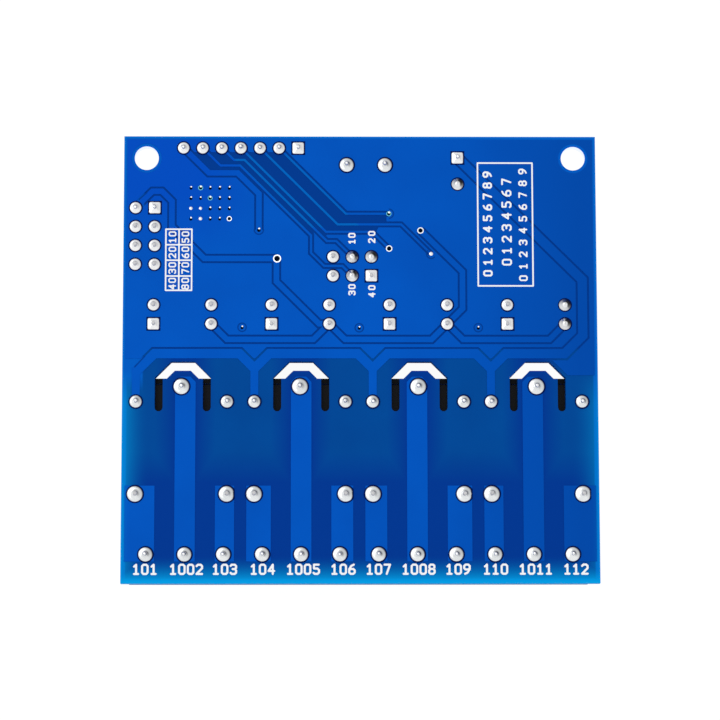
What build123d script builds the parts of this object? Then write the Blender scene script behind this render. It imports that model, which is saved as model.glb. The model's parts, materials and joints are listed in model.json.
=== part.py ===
from build123d import *
import math
import os

# Relay module board, four channels.
# The frame: X runs along the terminal edge, +Y points to the edge with the pin header, and +Z points away
# from the solder side. The board lies with its solder side up, on the tops of its four relays, which stand
# at Z = 0. The origin is under the middle of the board. Lengths are in millimetres.

# Board
BOARD_WIDTH = 62.7
BOARD_DEPTH = 59.5
BOARD_THICKNESS = 1.6
FOIL = 0.05
EDGE_INSET = 0.45
MOUNT_HOLE_RADIUS = 1.6
MOUNT_HOLE_EDGE_X = 3.0
MOUNT_HOLE_EDGE_Y = 2.97
MOUNT_HOLE_BARE_RADIUS = 2.0

# Relay
RELAY_HEIGHT = 15.6
RELAY_LENGTH = 19.1
RELAY_WIDTH = 15.3
RELAY_PITCH = 15.59
RELAY_COUNT = 4
RELAY_CORNER = 0.35
CASE_WALL = 0.7
CASE_TOP = 0.8
COMMON_PIN_FROM_END = 1.25
COIL_PIN_BACK = 2.0
CONTACT_PIN_BACK = 14.2
RELAY_PIN_SIDE = 6.0
BASE_CLEARANCE = 0.05
BASE_RISE = 0.3
BASE_THICKNESS = 2.0
YOKE_WIDTH = 9.0
YOKE_THICKNESS = 1.2
ROOM_OVER_POLE = 3.6
POLE_THICKNESS = 0.6
POLE_RADIUS = 3.1
CORE_RADIUS = 1.9
BOBBIN_TUBE_RADIUS = 2.5
BOBBIN_FLANGE = 9.8
BOBBIN_FLANGE_THICKNESS = 0.8
BOBBIN_FOOT_WIDTH = 13.3
WINDING_RADIUS = 4.6
ARMATURE_THICKNESS = 1.0
ARMATURE_WIDTH = 8.6
ARMATURE_PAST_COIL = 0.3
ARMATURE_OPEN_ANGLE = 3.4
ARMATURE_GAP = 0.05
SPRING_THICKNESS = 0.2
SPRING_WIDTH = 4.6
SPRING_PAST_CONTACT = 1.1
CONTACT_RADIUS = 0.75
CONTACT_HEIGHT = 0.4
CONTACT_GAP = 0.05
BLADE_THICKNESS = 0.4
BLADE_WIDTH = 1.8
CONTACT_ARM_WIDTH = 1.8
CONTACT_ARM_PAST = 1.1
COMMON_PIN_WIDTH = 1.1
COMMON_PIN_THICKNESS = 0.8
CONTACT_PIN_WIDTH = 0.9
COIL_PIN_SIZE = 0.6
COIL_PIN_STAND = 0.9

# Places of the relays and terminals
GRID_X = -0.16
TERMINAL_EDGE = 3.79
TERMINAL_RELAY_GAP = 0.17
TERMINAL_PITCH = 5.08
TERMINAL_POLES = 3
POWER_X = 0.78
POWER_EDGE = 3.86
POWER_POLES = 2

# Isolation slots, with heights from the relay's common pin
SLOT_SHIFT = 0.17
SLOT_LEG_OUTER = 3.7
SLOT_LEG_WIDTH = 1.07
SLOT_LEG_DROP = 3.31
SLOT_ARCH_RISE = 3.34
SLOT_ARCH_HALF = 1.55
SLOT_ARCH_WIDTH = 1.25
SLOT_STEP_RISE = 1.04
SLOT_INNER_HALF = 1.05
SLOT_END_SIDES = 10

# Terminal blocks
BLOCK_FRONT = 3.45
BLOCK_BACK = 4.1
BLOCK_HEIGHT = 10.0
BLOCK_SHOULDER_HEIGHT = 6.4
BLOCK_SHOULDER_DEPTH = 0.9
BLOCK_TOP_FRONT = 1.2
BLOCK_TOP_BACK = 0.8
BLOCK_BACK_SLOPE_HEIGHT = 7.4
WIRE_ENTRY_WIDTH = 3.2
WIRE_ENTRY_MARGIN = 0.2
CLAMP_RISE = 0.7
CLAMP_WIDTH = 3.8
CLAMP_DEPTH = 3.6
CLAMP_HEIGHT = 4.4
CLAMP_WALL = 0.7
CLAMP_TRAVEL = 2.5
CLAMP_CLEARANCE = 0.1
SCREW_HEAD_RADIUS = 1.75
SCREW_HEAD_HEIGHT = 1.2
SCREW_SHANK_RADIUS = 1.15
SCREW_SLOT_WIDTH = 0.6
SCREW_SLOT_DEPTH = 0.7
SCREW_RUNNING_GAP = 0.06
SCREW_LEDGE = 0.4
TERMINAL_PIN_SIZE = 0.9
TERMINAL_BAR = 0.5
TERMINAL_BAR_FRONT = 1.5

# Headers and socket
PIN_PITCH = 2.54
HEADER_COUNT = 7
HEADER_X = -15.84
HEADER_EDGE = 1.58
STRIP_HEIGHT = 2.54
STRIP_NOTCH = 0.8
HEADER_PIN_SIZE = 0.64
HEADER_PIN_HEIGHT = 8.4
SOCKET_EDGE = 2.85
SOCKET_OVER_OPTOS = 10.5
SOCKET_COLUMNS = 2
SOCKET_ROWS = 4
SOCKET_HEIGHT = 8.5
SOCKET_CELL = 1.3
SOCKET_FLOOR = 1.6
SOCKET_CONTACT = 1.1
SOCKET_LEAF = 0.2
SOCKET_FORK_BELOW_TOP = 0.6
SOCKET_TAIL = 0.5
JUMPER_X = -1.05
JUMPER_OVER_OPTOS = 6.45
JUMPER_COLUMNS = 3
JUMPER_ROWS = 2
CAP_HEIGHT = 6.6
CAP_MARGIN = 0.08
CAP_ROOF = 0.6
CAP_BEVEL = 0.3
PIN_FIT = 0.03

# Optocouplers
OPTO_SHIFT = 0.05
OPTO_RISE = 9.61
OPTO_LEAD_SPAN = 7.62
OPTO_BODY_X = 6.4
OPTO_BODY_Y = 4.6
OPTO_BODY_HEIGHT = 3.4
OPTO_STAND = 0.5
OPTO_DRAFT = 7.0
OPTO_LEAD_WIDTH = 0.5
OPTO_LEAD_THICKNESS = 0.26
OPTO_PARTING = 1.6

# Capacitor
CAPACITOR_X = 12.97
CAPACITOR_EDGE = 4.665
CAPACITOR_LEAD_PITCH = 3.55
CAPACITOR_RADIUS = 4.0
CAPACITOR_HEIGHT = 11.5
CAPACITOR_GROOVE_HEIGHT = 1.6
CAPACITOR_GROOVE_DEPTH = 0.3
CAPACITOR_CROWN = 0.5
CAPACITOR_LEAD_RADIUS = 0.3

# Surface-mounted parts, each as length along X, width along Y and height. Places are given from the +Y edge,
# and those of the left group also from the -X edge. Offsets are from each relay's common pin.
CONTROLLER_SIZE = (6.5, 4.4, 1.0)
CONTROLLER_PLACE = (6.2, 12.75)
CONTROLLER_STAND = 0.12
CONTROLLER_LEADS = 20
CONTROLLER_LEAD_PITCH = 0.65
CONTROLLER_LEAD_REACH = 1.0
CONTROLLER_LEAD_WIDTH = 0.25
CONTROLLER_LEAD_HEIGHT = 0.6
CONTROLLER_LEAD_THICKNESS = 0.15
REGULATOR_SIZE = (6.4, 6.0, 2.3)
REGULATOR_PLACE = (11.45, 9.75)
REGULATOR_TAB_REACH = 1.2
TAB_SHARE = 0.82
TAB_THICKNESS = 0.5
SMALL_REGULATOR_SIZE = (6.5, 3.5, 1.6)
SMALL_REGULATOR_PLACE = (14.35, 16.45)
TRANSISTOR_SIZE = (2.9, 1.3, 1.0)
TRANSISTOR_OFFSET = (5.5, 5.14)
DIODE_SIZE = (3.4, 1.7, 1.1)
DIODE_OFFSET = (-5.0, 5.14)
CHIP_SIZE = (1.25, 2.0, 0.5)
LIGHT_SIZE = (1.25, 2.0, 0.8)
LOWER_CHIP_XS = (-1.3, 1.5)
LOWER_ROW_RISE = 5.34
UPPER_CHIP_XS = (-3.9, -1.9)
LIGHT_X = 0.1
UPPER_ROW_GAP = 0.08
POWER_LIGHT_PLACE = (19.0, 5.75)
LOOSE_CHIPS = ((20.9, 5.75), (10.6, 10.35), (10.6, 13.15))
LEFT_CHIPS = ((18.75, 9.15), (20.95, 9.15), (20.95, 12.15))
MOULD_DRAFT = 6.0

# Solder joints: pad radius, tip radius and height by the kind of pin. The solder fills each drilled hole, so
# the hole is drawn as the square that the pin leaves in it. Round forms that repeat often have few sides.
SMALL_JOINT = (0.78, 0.3, 1.2)
COIL_JOINT = (0.82, 0.32, 1.2)
CONTACT_JOINT = (1.07, 0.45, 1.5)
TERMINAL_JOINT = (0.97, 0.42, 1.5)
LARGE_JOINT_RADIUS = 0.9
SQUARE_JOINT_TAPER = 28.0
SQUARE_JOINT_HEIGHT = 0.7
SMALL_SIDES = 6
ROUND_SIDES = 8
SCREW_SIDES = 8
CAN_SIDES = 18

# Copper artwork on the solder side
CLEARANCE = 0.25
FINE_TRACK = 0.3
SUPPLY_TRACK = 0.75
COIL_TRACK = 1.25
COIL_STUB = 1.05
COIL_PAD = 1.5
STRIP_MARGIN = 1.0
STRIP_OUTER_MARGIN = 1.12
COMMON_STRIP = 2.7
COMMON_STRIP_PAST_PIN = 1.3
COMMON_STRIP_BEVEL = 0.7
STRIP_PAST_CONTACT = 1.09
STRIP_PAST_TERMINAL = 0.94
COIL_RAIL_RISE = 4.36
COIL_FORK_RISE = 2.39
COIL_RAIL_EDGE = 1.93
COIL_RAIL_KNEE_RISE = 6.79
COIL_RAIL_END_RISE = 1.94
SUPPLY_LINK_RISE = 6.26
GROUND_TONGUE_RISE = 1.49
GROUND_TONGUE_STEP = 2.0
SMALLEST_FIELD = 0.25

# Heights of the tracks' level runs below the pin header, and the places where they turn
FIRST_SIGNAL_DROP = 2.37
SECOND_SIGNAL_DROP = 1.62
HEADER_SUPPLY_DROP = 3.38
SOCKET_ARCH_RISE = 2.22
SIGNAL_TURN_XS = (-15.95, -15.35)
SIGNAL_DROP_X = -6.5
SIGNAL_DROP_END_RISE = 1.78
SIGNAL_ENTRY_RISE = 0.03
SIGNAL_RUN_RISES = (3.38, 4.63, 5.63)
HEADER_SUPPLY_TURN_X = -16.24
ARCH_SIDE = (3.55, 0.87)
TABLE_TURN_RISE = -2.52
SOCKET_DROP_SHIFT = 0.08
SOCKET_DROP_Y = 10.15
CHIP_SIDE_X = 13.55

# What follows from the sizes above
TOP_Y = BOARD_DEPTH / 2
BOTTOM_Y = -TOP_Y
LEFT_X = -BOARD_WIDTH / 2
TERMINAL_Y = BOTTOM_Y + TERMINAL_EDGE
RELAY_COMMON_Y = TERMINAL_Y + BLOCK_BACK + TERMINAL_RELAY_GAP + RELAY_LENGTH - COMMON_PIN_FROM_END
POWER_Y = TOP_Y - POWER_EDGE
HEADER_Y = TOP_Y - HEADER_EDGE
CAPACITOR_Y = TOP_Y - CAPACITOR_EDGE
SOCKET_X = LEFT_X + SOCKET_EDGE
OPTO_Y = RELAY_COMMON_Y + OPTO_RISE
SOCKET_Y = OPTO_Y + SOCKET_OVER_OPTOS
JUMPER_Y = OPTO_Y + JUMPER_OVER_OPTOS
COIL_RAIL_Y = RELAY_COMMON_Y + COIL_RAIL_RISE
COIL_FORK_Y = RELAY_COMMON_Y + COIL_FORK_RISE
UPPER_ROW_RISE = OPTO_RISE + OPTO_BODY_Y / 2 + UPPER_ROW_GAP + CHIP_SIZE[1] / 2
POLE_FACE_HEIGHT = RELAY_HEIGHT - CASE_TOP - ROOM_OVER_POLE
COMPONENT_FACE = RELAY_HEIGHT
SOLDER_FACE = COMPONENT_FACE + BOARD_THICKNESS
JOINT_SEAT = SOLDER_FACE + FOIL
BLOCK_WIDTH = TERMINAL_PITCH * TERMINAL_POLES
MOUNT_HOLE_X = BOARD_WIDTH / 2 - MOUNT_HOLE_EDGE_X
MOUNT_HOLE_Y = BOARD_DEPTH / 2 - MOUNT_HOLE_EDGE_Y
BASE_TOP = BASE_RISE + BASE_THICKNESS
FOOT_TOP = BASE_TOP + YOKE_THICKNESS
YOKE_BACK = COMMON_PIN_FROM_END - CASE_WALL - 2 * BASE_CLEARANCE
YOKE_FRONT = YOKE_BACK - YOKE_THICKNESS
COIL_Y = YOKE_FRONT - BASE_CLEARANCE - BOBBIN_FLANGE / 2
HINGE_HEIGHT = POLE_FACE_HEIGHT + ARMATURE_GAP
ARMATURE_LENGTH = YOKE_BACK - COIL_Y + WINDING_RADIUS + ARMATURE_PAST_COIL
WINDOW_BOTTOM = CLAMP_RISE + CLAMP_WALL
WINDOW_TOP = CLAMP_RISE + CLAMP_HEIGHT - CLAMP_WALL
BAR_TOP = WINDOW_TOP - CLAMP_CLEARANCE / 2
LEDGE_HEIGHT = CLAMP_RISE + CLAMP_HEIGHT + CLAMP_TRAVEL + CLAMP_CLEARANCE
SCREW_SEAT = LEDGE_HEIGHT + SCREW_LEDGE
SCREW_TIP = WINDOW_TOP + SCREW_RUNNING_GAP
BAR_BACK = CLAMP_DEPTH / 2 + CLAMP_CLEARANCE + TERMINAL_BAR
WELL_RADIUS = (SCREW_HEAD_RADIUS + SCREW_RUNNING_GAP) / math.cos(math.pi / SCREW_SIDES)
SHANK_HOLE_RADIUS = (SCREW_SHANK_RADIUS + SCREW_RUNNING_GAP) / math.cos(math.pi / SMALL_SIDES)
CONTACT_Y = -CONTACT_PIN_BACK
CLOSED_SPRING_BOTTOM = HINGE_HEIGHT + ARMATURE_THICKNESS
CLOSED_SPRING_TOP = CLOSED_SPRING_BOTTOM + SPRING_THICKNESS
OPEN_RISE = (YOKE_BACK - CONTACT_Y + CONTACT_RADIUS) * math.sin(math.radians(ARMATURE_OPEN_ANGLE))


def box_on(size, x=0.0, y=0.0, z=0.0):
    """Box with its base centred on x, y, z."""
    return Pos(x, y, z) * Box(*size, align=(Align.CENTER, Align.CENTER, Align.MIN))


def rod_on(radius, height, x=0.0, y=0.0, z=0.0):
    """Cylinder with its base centred on x, y, z."""
    return Pos(x, y, z) * Cylinder(radius, height, align=(Align.CENTER, Align.CENTER, Align.MIN))


def prism_on(radius, sides, height, x=0.0, y=0.0, z=0.0):
    """Many-sided prism that stands in for a small cylinder where there are many of them."""
    return Pos(x, y, z) * extrude(RegularPolygon(radius, sides), height)


def under_board(shape, x=0.0, y=0.0):
    """Turns a shape that was built upwards over, and hangs it under the board. Its X changes sign."""
    return Pos(x, y, COMPONENT_FACE) * Rot(0, 180, 0) * shape


def write(name, *shapes):
    """Writes one node, as one solid or as a group of separate solids."""
    solids = [solid for shape in shapes for solid in shape.solids()]
    export_step(solids[0] if len(solids) == 1 else Compound(children=solids), f"parts/{name}.step")


def grid_places(x, y, columns, rows, pitch):
    """Places of a centred grid of pins."""
    return [
        (x + (column - (columns - 1) / 2) * pitch, y + (row - (rows - 1) / 2) * pitch)
        for row in range(rows)
        for column in range(columns)
    ]


relay_xs = [GRID_X + (number - (RELAY_COUNT - 1) / 2) * RELAY_PITCH for number in range(RELAY_COUNT)]
block_xs = [GRID_X + (number - (RELAY_COUNT - 1) / 2) * BLOCK_WIDTH for number in range(RELAY_COUNT)]
pole_offsets = [(pole - (TERMINAL_POLES - 1) / 2) * TERMINAL_PITCH for pole in range(TERMINAL_POLES)]
power_offsets = [(pole - (POWER_POLES - 1) / 2) * TERMINAL_PITCH for pole in range(POWER_POLES)]
header_pins = grid_places(HEADER_X, HEADER_Y, HEADER_COUNT, 1, PIN_PITCH)
socket_pins = grid_places(SOCKET_X, SOCKET_Y, SOCKET_COLUMNS, SOCKET_ROWS, PIN_PITCH)
jumper_pins = grid_places(JUMPER_X, JUMPER_Y, JUMPER_COLUMNS, JUMPER_ROWS, PIN_PITCH)
terminal_pins = [(x + offset, TERMINAL_Y) for x in block_xs for offset in pole_offsets]
power_pins = [(POWER_X + offset, POWER_Y) for offset in power_offsets]
capacitor_pins = [(CAPACITOR_X, CAPACITOR_Y + side * CAPACITOR_LEAD_PITCH / 2) for side in (1, -1)]
common_pins = [(x, RELAY_COMMON_Y) for x in relay_xs]
coil_pins = [
    (x + side * RELAY_PIN_SIDE, RELAY_COMMON_Y - COIL_PIN_BACK) for x in relay_xs for side in (-1, 1)
]
contact_pins = [
    (x + side * RELAY_PIN_SIDE, RELAY_COMMON_Y - CONTACT_PIN_BACK) for x in relay_xs for side in (-1, 1)
]


def opto_pins(x):
    """Pins of the optocoupler beside the relay at x: lower left, lower right, upper left, upper right."""
    half_span = OPTO_LEAD_SPAN / 2
    centre = x + OPTO_SHIFT
    return [
        (centre + side * half_span, OPTO_Y + row * PIN_PITCH / 2) for row in (-1, 1) for side in (-1, 1)
    ]


# Via places, each where two tracks meet through the board
SOCKET_VIA = (-11.0, 13.24)
HEADER_VIA = (-13.42, 17.12)
UPPER_SIGNAL_VIA = (3.82, 19.29)
LOWER_SIGNAL_VIA = (9.41, 13.89)
MIDDLE_SIGNAL_VIA = (3.85, 14.6)
SUPPLY_VIA = (8.02, 17.03)


def slot_outline(x):
    """Outline of one isolation slot: a flat-topped arch that steps down into two round-ended legs."""
    arch_bottom = SLOT_ARCH_RISE - (SLOT_LEG_OUTER - SLOT_ARCH_HALF)
    leg_inner = SLOT_LEG_OUTER - SLOT_LEG_WIDTH
    inner_top = SLOT_ARCH_RISE - SLOT_ARCH_WIDTH
    step_half = SLOT_INNER_HALF + inner_top - SLOT_STEP_RISE
    end_radius = SLOT_LEG_WIDTH / 2
    round_y = end_radius - SLOT_LEG_DROP
    turns = [2 * math.pi * step / SLOT_END_SIDES for step in range(SLOT_END_SIDES // 2 + 1)]
    round_end = [(leg_inner + end_radius * (1 + math.cos(turn)), round_y - end_radius * math.sin(turn))
                 for turn in turns]
    half = [
        (SLOT_ARCH_HALF, SLOT_ARCH_RISE),
        (SLOT_LEG_OUTER, arch_bottom),
        *round_end,
        (leg_inner, SLOT_STEP_RISE),
        (step_half, SLOT_STEP_RISE),
        (SLOT_INNER_HALF, inner_top),
    ]
    points = half + [(-px, py) for px, py in reversed(half)]
    return Pos(x + SLOT_SHIFT, RELAY_COMMON_Y) * make_face(Polyline(*points, close=True))


# Pins by kind, with the joint that each gets and the width of the pin
square_pins = [header_pins[-1], socket_pins[-1], jumper_pins[JUMPER_COLUMNS - 1], capacitor_pins[0]]
square_pins += [opto_pins(x)[0] for x in relay_xs]
pin_kinds = [
    (header_pins + socket_pins + jumper_pins, SMALL_JOINT, HEADER_PIN_SIZE),
    ([pin for x in relay_xs for pin in opto_pins(x)], SMALL_JOINT, OPTO_LEAD_WIDTH),
    (capacitor_pins, SMALL_JOINT, 2 * CAPACITOR_LEAD_RADIUS),
    (coil_pins, COIL_JOINT, COIL_PIN_SIZE),
    (common_pins, CONTACT_JOINT, COMMON_PIN_WIDTH),
    (contact_pins, CONTACT_JOINT, CONTACT_PIN_WIDTH),
    (terminal_pins + power_pins, TERMINAL_JOINT, TERMINAL_PIN_SIZE),
]


def circuit_board():
    """Laminate with its mounting holes, slots and pin holes."""
    outline = Rectangle(BOARD_WIDTH, BOARD_DEPTH)
    holes = [Pos(side * MOUNT_HOLE_X, MOUNT_HOLE_Y) * Circle(MOUNT_HOLE_RADIUS) for side in (-1, 1)]
    holes += [slot_outline(x) for x in relay_xs]
    for pins, _, pin_size in pin_kinds:
        hole = pin_size + 2 * PIN_FIT
        holes += [Pos(*pin) * Rectangle(hole, hole) for pin in pins]
    return Pos(0, 0, COMPONENT_FACE) * extrude(outline - holes, BOARD_THICKNESS)


def solder_joint(place, kind):
    """Cone of solder that wets a pin's tip, or a low pyramid on a square pad."""
    pad_radius, tip_radius, height = kind
    if place in square_pins:
        pad = Rectangle(2 * pad_radius, 2 * pad_radius)
        return Pos(*place, JOINT_SEAT) * extrude(pad, SQUARE_JOINT_HEIGHT, taper=SQUARE_JOINT_TAPER)
    sides = SMALL_SIDES if pad_radius < LARGE_JOINT_RADIUS else ROUND_SIDES
    pad = RegularPolygon(pad_radius, sides, major_radius=False)
    slant = math.degrees(math.atan((pad_radius - tip_radius) / height))
    return Pos(*place, JOINT_SEAT) * extrude(pad, height, taper=slant)


def ribbon(points, width):
    """Track of one width along a run of points, with mitred corners and square ends."""
    sides = ([], [])
    for index, (x, y) in enumerate(points):
        before = points[max(index - 1, 0)]
        after = points[min(index + 1, len(points) - 1)]
        into = Vector(x - before[0], y - before[1], 0) if index else None
        out = Vector(after[0] - x, after[1] - y, 0) if index < len(points) - 1 else None
        into = (into or out).normalized()
        out = (out or into).normalized()
        middle = (into + out).normalized()
        reach = width / 2 / middle.dot(out)
        sides[0].append((x - middle.Y * reach, y + middle.X * reach))
        sides[1].append((x + middle.Y * reach, y - middle.X * reach))
    return make_face(Polyline(*sides[0], *reversed(sides[1]), close=True))


def diagonal_to_y(start, y, slope):
    """Where a 45 degree track from start reaches y; slope is 1 or -1."""
    return (start[0] + slope * (y - start[1]), y)


def diagonal_to_x(start, x, slope):
    """Where a 45 degree track from start reaches x; slope is 1 or -1."""
    return (x, start[1] + slope * (x - start[0]))


def signal_tracks():
    """Five fine tracks that fan out from the programming header."""
    left, second, third, fourth, fifth = header_pins[1:6]
    upper_run_y, lower_run_y = HEADER_Y - FIRST_SIGNAL_DROP, HEADER_Y - SECOND_SIGNAL_DROP
    jumper_upper = jumper_pins[JUMPER_COLUMNS + 1]
    jumper_lower = jumper_pins[1]
    left_turn = (SIGNAL_TURN_XS[0], upper_run_y)
    left_drop = diagonal_to_x(left_turn, SIGNAL_DROP_X, -1)
    left_bottom = (SIGNAL_DROP_X, JUMPER_Y + SIGNAL_DROP_END_RISE)
    left_run = diagonal_to_y(left_bottom, JUMPER_Y + SIGNAL_ENTRY_RISE, -1)
    second_turn = (SIGNAL_TURN_XS[1], lower_run_y)
    second_run_y, third_run_y, fourth_run_y = [JUMPER_Y + rise for rise in SIGNAL_RUN_RISES]
    fifth_run_y = UPPER_SIGNAL_VIA[1]
    return [
        [left, diagonal_to_y(left, upper_run_y, -1), left_turn, left_drop, left_bottom, left_run,
         diagonal_to_y(jumper_lower, left_run[1], -1), jumper_lower],
        [second, diagonal_to_y(second, lower_run_y, -1), second_turn,
         diagonal_to_y(second_turn, second_run_y, -1),
         diagonal_to_y(jumper_upper, second_run_y, -1), jumper_upper],
        [third, diagonal_to_y(third, third_run_y, -1),
         diagonal_to_y(MIDDLE_SIGNAL_VIA, third_run_y, -1), MIDDLE_SIGNAL_VIA],
        [fourth, diagonal_to_y(fourth, fourth_run_y, -1),
         diagonal_to_y(LOWER_SIGNAL_VIA, fourth_run_y, -1), LOWER_SIGNAL_VIA],
        [fifth, diagonal_to_y(fifth, fifth_run_y, -1), UPPER_SIGNAL_VIA],
    ]


def supply_tracks():
    """Tracks of the module's supply, from header, socket and vias to the optocouplers."""
    header_start = header_pins[0]
    header_run_y = HEADER_Y - HEADER_SUPPLY_DROP
    header_knee = (HEADER_SUPPLY_TURN_X, header_run_y)
    header_tracks = [header_start, diagonal_to_y(header_start, header_run_y, -1), header_knee,
                     diagonal_to_x(header_knee, HEADER_VIA[0], -1), HEADER_VIA]
    socket_start = socket_pins[-2]
    arch_y = socket_start[1] + SOCKET_ARCH_RISE
    arch_side = (SOCKET_X + ARCH_SIDE[0], socket_start[1] + ARCH_SIDE[1])
    table_turn = (arch_side[0], socket_start[1] + TABLE_TURN_RISE)
    socket_track = [socket_start, diagonal_to_y(socket_start, arch_y, 1),
                    diagonal_to_y(arch_side, arch_y, -1), arch_side, table_turn,
                    diagonal_to_y(table_turn, SOCKET_VIA[1], -1), SOCKET_VIA]
    second_right = opto_pins(relay_xs[1])[1]
    drop_x = SOCKET_VIA[0] - SOCKET_DROP_SHIFT
    drop_end = (drop_x, SOCKET_DROP_Y)
    drop_track = [(drop_x, SOCKET_VIA[1]), drop_end, diagonal_to_y(drop_end, second_right[1], -1),
                  second_right]
    third_right = opto_pins(relay_xs[2])[1]
    chip_track = [SUPPLY_VIA, diagonal_to_x(SUPPLY_VIA, CHIP_SIDE_X, -1),
                  diagonal_to_x(third_right, CHIP_SIDE_X, 1), third_right]
    rights = [opto_pins(x)[1] for x in relay_xs]
    link_y = RELAY_COMMON_Y + SUPPLY_LINK_RISE
    links = [
        [left, diagonal_to_y(left, link_y, -1), diagonal_to_y(right, link_y, 1), right]
        for left, right in zip(rights, rights[1:])
    ]
    return [header_tracks, socket_track, drop_track, chip_track] + links


def coil_rail():
    """Coil supply: down the right side from the capacitor, then along the relays with a dip at each."""
    start = capacitor_pins[0]
    side_x = BOARD_WIDTH / 2 - COIL_RAIL_EDGE
    corner = diagonal_to_x(start, side_x, -1)
    knee_y = RELAY_COMMON_Y + COIL_RAIL_KNEE_RISE
    points = [start, corner, (side_x, knee_y), (side_x - (knee_y - COIL_RAIL_Y), COIL_RAIL_Y)]
    for x in reversed(relay_xs[1:]):
        pin_x = x - RELAY_PIN_SIDE
        reach = COIL_RAIL_Y - COIL_FORK_Y
        points += [(pin_x + reach, COIL_RAIL_Y), (pin_x, COIL_FORK_Y), (pin_x - reach, COIL_RAIL_Y)]
    last_x = relay_xs[0] - RELAY_PIN_SIDE
    end_y = RELAY_COMMON_Y + COIL_RAIL_END_RISE
    points += [(last_x + COIL_RAIL_Y - end_y, COIL_RAIL_Y), (last_x, end_y)]
    return points


def ground_outline():
    """Outline of the ground fill, down to the coil rail and round its right end."""
    half_x = BOARD_WIDTH / 2 - EDGE_INSET
    top_y = BOARD_DEPTH / 2 - EDGE_INSET
    tongue_y = RELAY_COMMON_Y + GROUND_TONGUE_RISE
    slot_side = relay_xs[-1] + SLOT_SHIFT + SLOT_LEG_OUTER + CLEARANCE
    return [(-half_x, top_y), (half_x, top_y), (half_x, tongue_y), (slot_side, tongue_y),
            (slot_side - GROUND_TONGUE_STEP, tongue_y + GROUND_TONGUE_STEP),
            (-half_x, tongue_y + GROUND_TONGUE_STEP)]


def bare_fan():
    """Bare laminate that the fine tracks cross."""
    return [(-22.05, 27.6), (-19.84, 25.39), (-15.99, 25.39), (-6.85, 16.25), (-6.15, 16.25), (-6.15, 16.85),
            (-4.75, 15.95), (-4.35, 16.55), (2.0, 16.55), (2.45, 17.5), (3.5, 17.5), (3.5, 19.65),
            (-1.75, 19.65), (-9.7, 27.6)]


def contact_strips():
    """Wide strips from each relay's contacts to the terminals below them."""
    limit = BOARD_WIDTH / 2 - EDGE_INSET
    strip_top = contact_pins[0][1] + STRIP_PAST_CONTACT
    strip_bottom = TERMINAL_Y - STRIP_PAST_TERMINAL
    strips = []
    for number in range(RELAY_COUNT):
        poles = terminal_pins[number * TERMINAL_POLES:(number + 1) * TERMINAL_POLES]
        for side, contact, pole in ((-1, contact_pins[2 * number], poles[0]),
                                    (1, contact_pins[2 * number + 1], poles[-1])):
            outer = contact[0] + side * STRIP_MARGIN
            inner = pole[0] - side * STRIP_OUTER_MARGIN
            if abs(outer) > limit - 2 * STRIP_MARGIN:
                outer = math.copysign(limit, outer)
            strips.append([(outer, strip_top), (inner, strip_top), (inner, strip_bottom),
                           (outer, strip_bottom)])
        centre, half = poles[1][0], COMMON_STRIP / 2
        top_y = RELAY_COMMON_Y + COMMON_STRIP_PAST_PIN
        shoulder_y = top_y - COMMON_STRIP_BEVEL
        inner_half = half - COMMON_STRIP_BEVEL
        strips.append([(centre - half, strip_bottom), (centre - half, shoulder_y),
                       (centre - inner_half, top_y), (centre + inner_half, top_y),
                       (centre + half, shoulder_y), (centre + half, strip_bottom)])
    return strips


def copper_layer():
    """All copper of the solder side under its mask, one solid for each separate field."""
    fine, supply, rail = signal_tracks(), supply_tracks(), coil_rail()
    ground = make_face(Polyline(*ground_outline(), close=True))
    gaps = [ribbon(track, FINE_TRACK + 2 * CLEARANCE) for track in fine]
    gaps += [ribbon(track, SUPPLY_TRACK + 2 * CLEARANCE) for track in supply]
    gaps += [ribbon(rail, COIL_TRACK + 2 * CLEARANCE)]
    gaps += [make_face(Polyline(*bare_fan(), close=True))]
    gaps += [Pos(side * MOUNT_HOLE_X, MOUNT_HOLE_Y) * Circle(MOUNT_HOLE_BARE_RADIUS) for side in (-1, 1)]
    below_rail = COIL_RAIL_Y - COIL_TRACK / 2
    slot_end = relay_xs[-1] + SLOT_SHIFT + SLOT_ARCH_HALF
    half_x = BOARD_WIDTH / 2
    gaps += [make_face(Polyline((-half_x, below_rail), (slot_end, below_rail), (slot_end, RELAY_COMMON_Y),
                                (-half_x, RELAY_COMMON_Y), close=True))]
    fields = [face for face in (ground - gaps).faces() if face.area > SMALLEST_FIELD]
    tracks = [ribbon(track, FINE_TRACK) for track in fine]
    tracks += [ribbon(track, SUPPLY_TRACK) for track in supply]
    tracks += [ribbon(rail, COIL_TRACK)]
    stub_top = COIL_FORK_Y
    for number, (x, y) in enumerate(coil_pins):
        if number % 2 == 0:
            tracks.append(Pos(x, (stub_top + y) / 2) * Rectangle(COIL_STUB, stub_top - y))
        tracks.append(Pos(x, y) * Rectangle(COIL_PAD, COIL_PAD))
    tracks += [make_face(Polyline(*strip, close=True)) for strip in contact_strips()]
    joined = tracks[0] + tracks[1:]
    return [Pos(0, 0, SOLDER_FACE) * extrude(face, FOIL) for face in fields + list(joined.faces())]


def relay_case():
    """Blue cap, open towards the board."""
    outer = Rectangle(RELAY_WIDTH, RELAY_LENGTH)
    outer = chamfer(outer.vertices(), RELAY_CORNER)
    shell = extrude(outer, RELAY_HEIGHT)
    shell = chamfer(shell.faces().sort_by(Axis.Z)[-1].edges(), RELAY_CORNER)
    room = Box(RELAY_WIDTH - 2 * CASE_WALL, RELAY_LENGTH - 2 * CASE_WALL, RELAY_HEIGHT - CASE_TOP,
               align=(Align.CENTER, Align.CENTER, Align.MIN))
    return Pos(0, COMMON_PIN_FROM_END - RELAY_LENGTH / 2, 0) * (shell - room)


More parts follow.
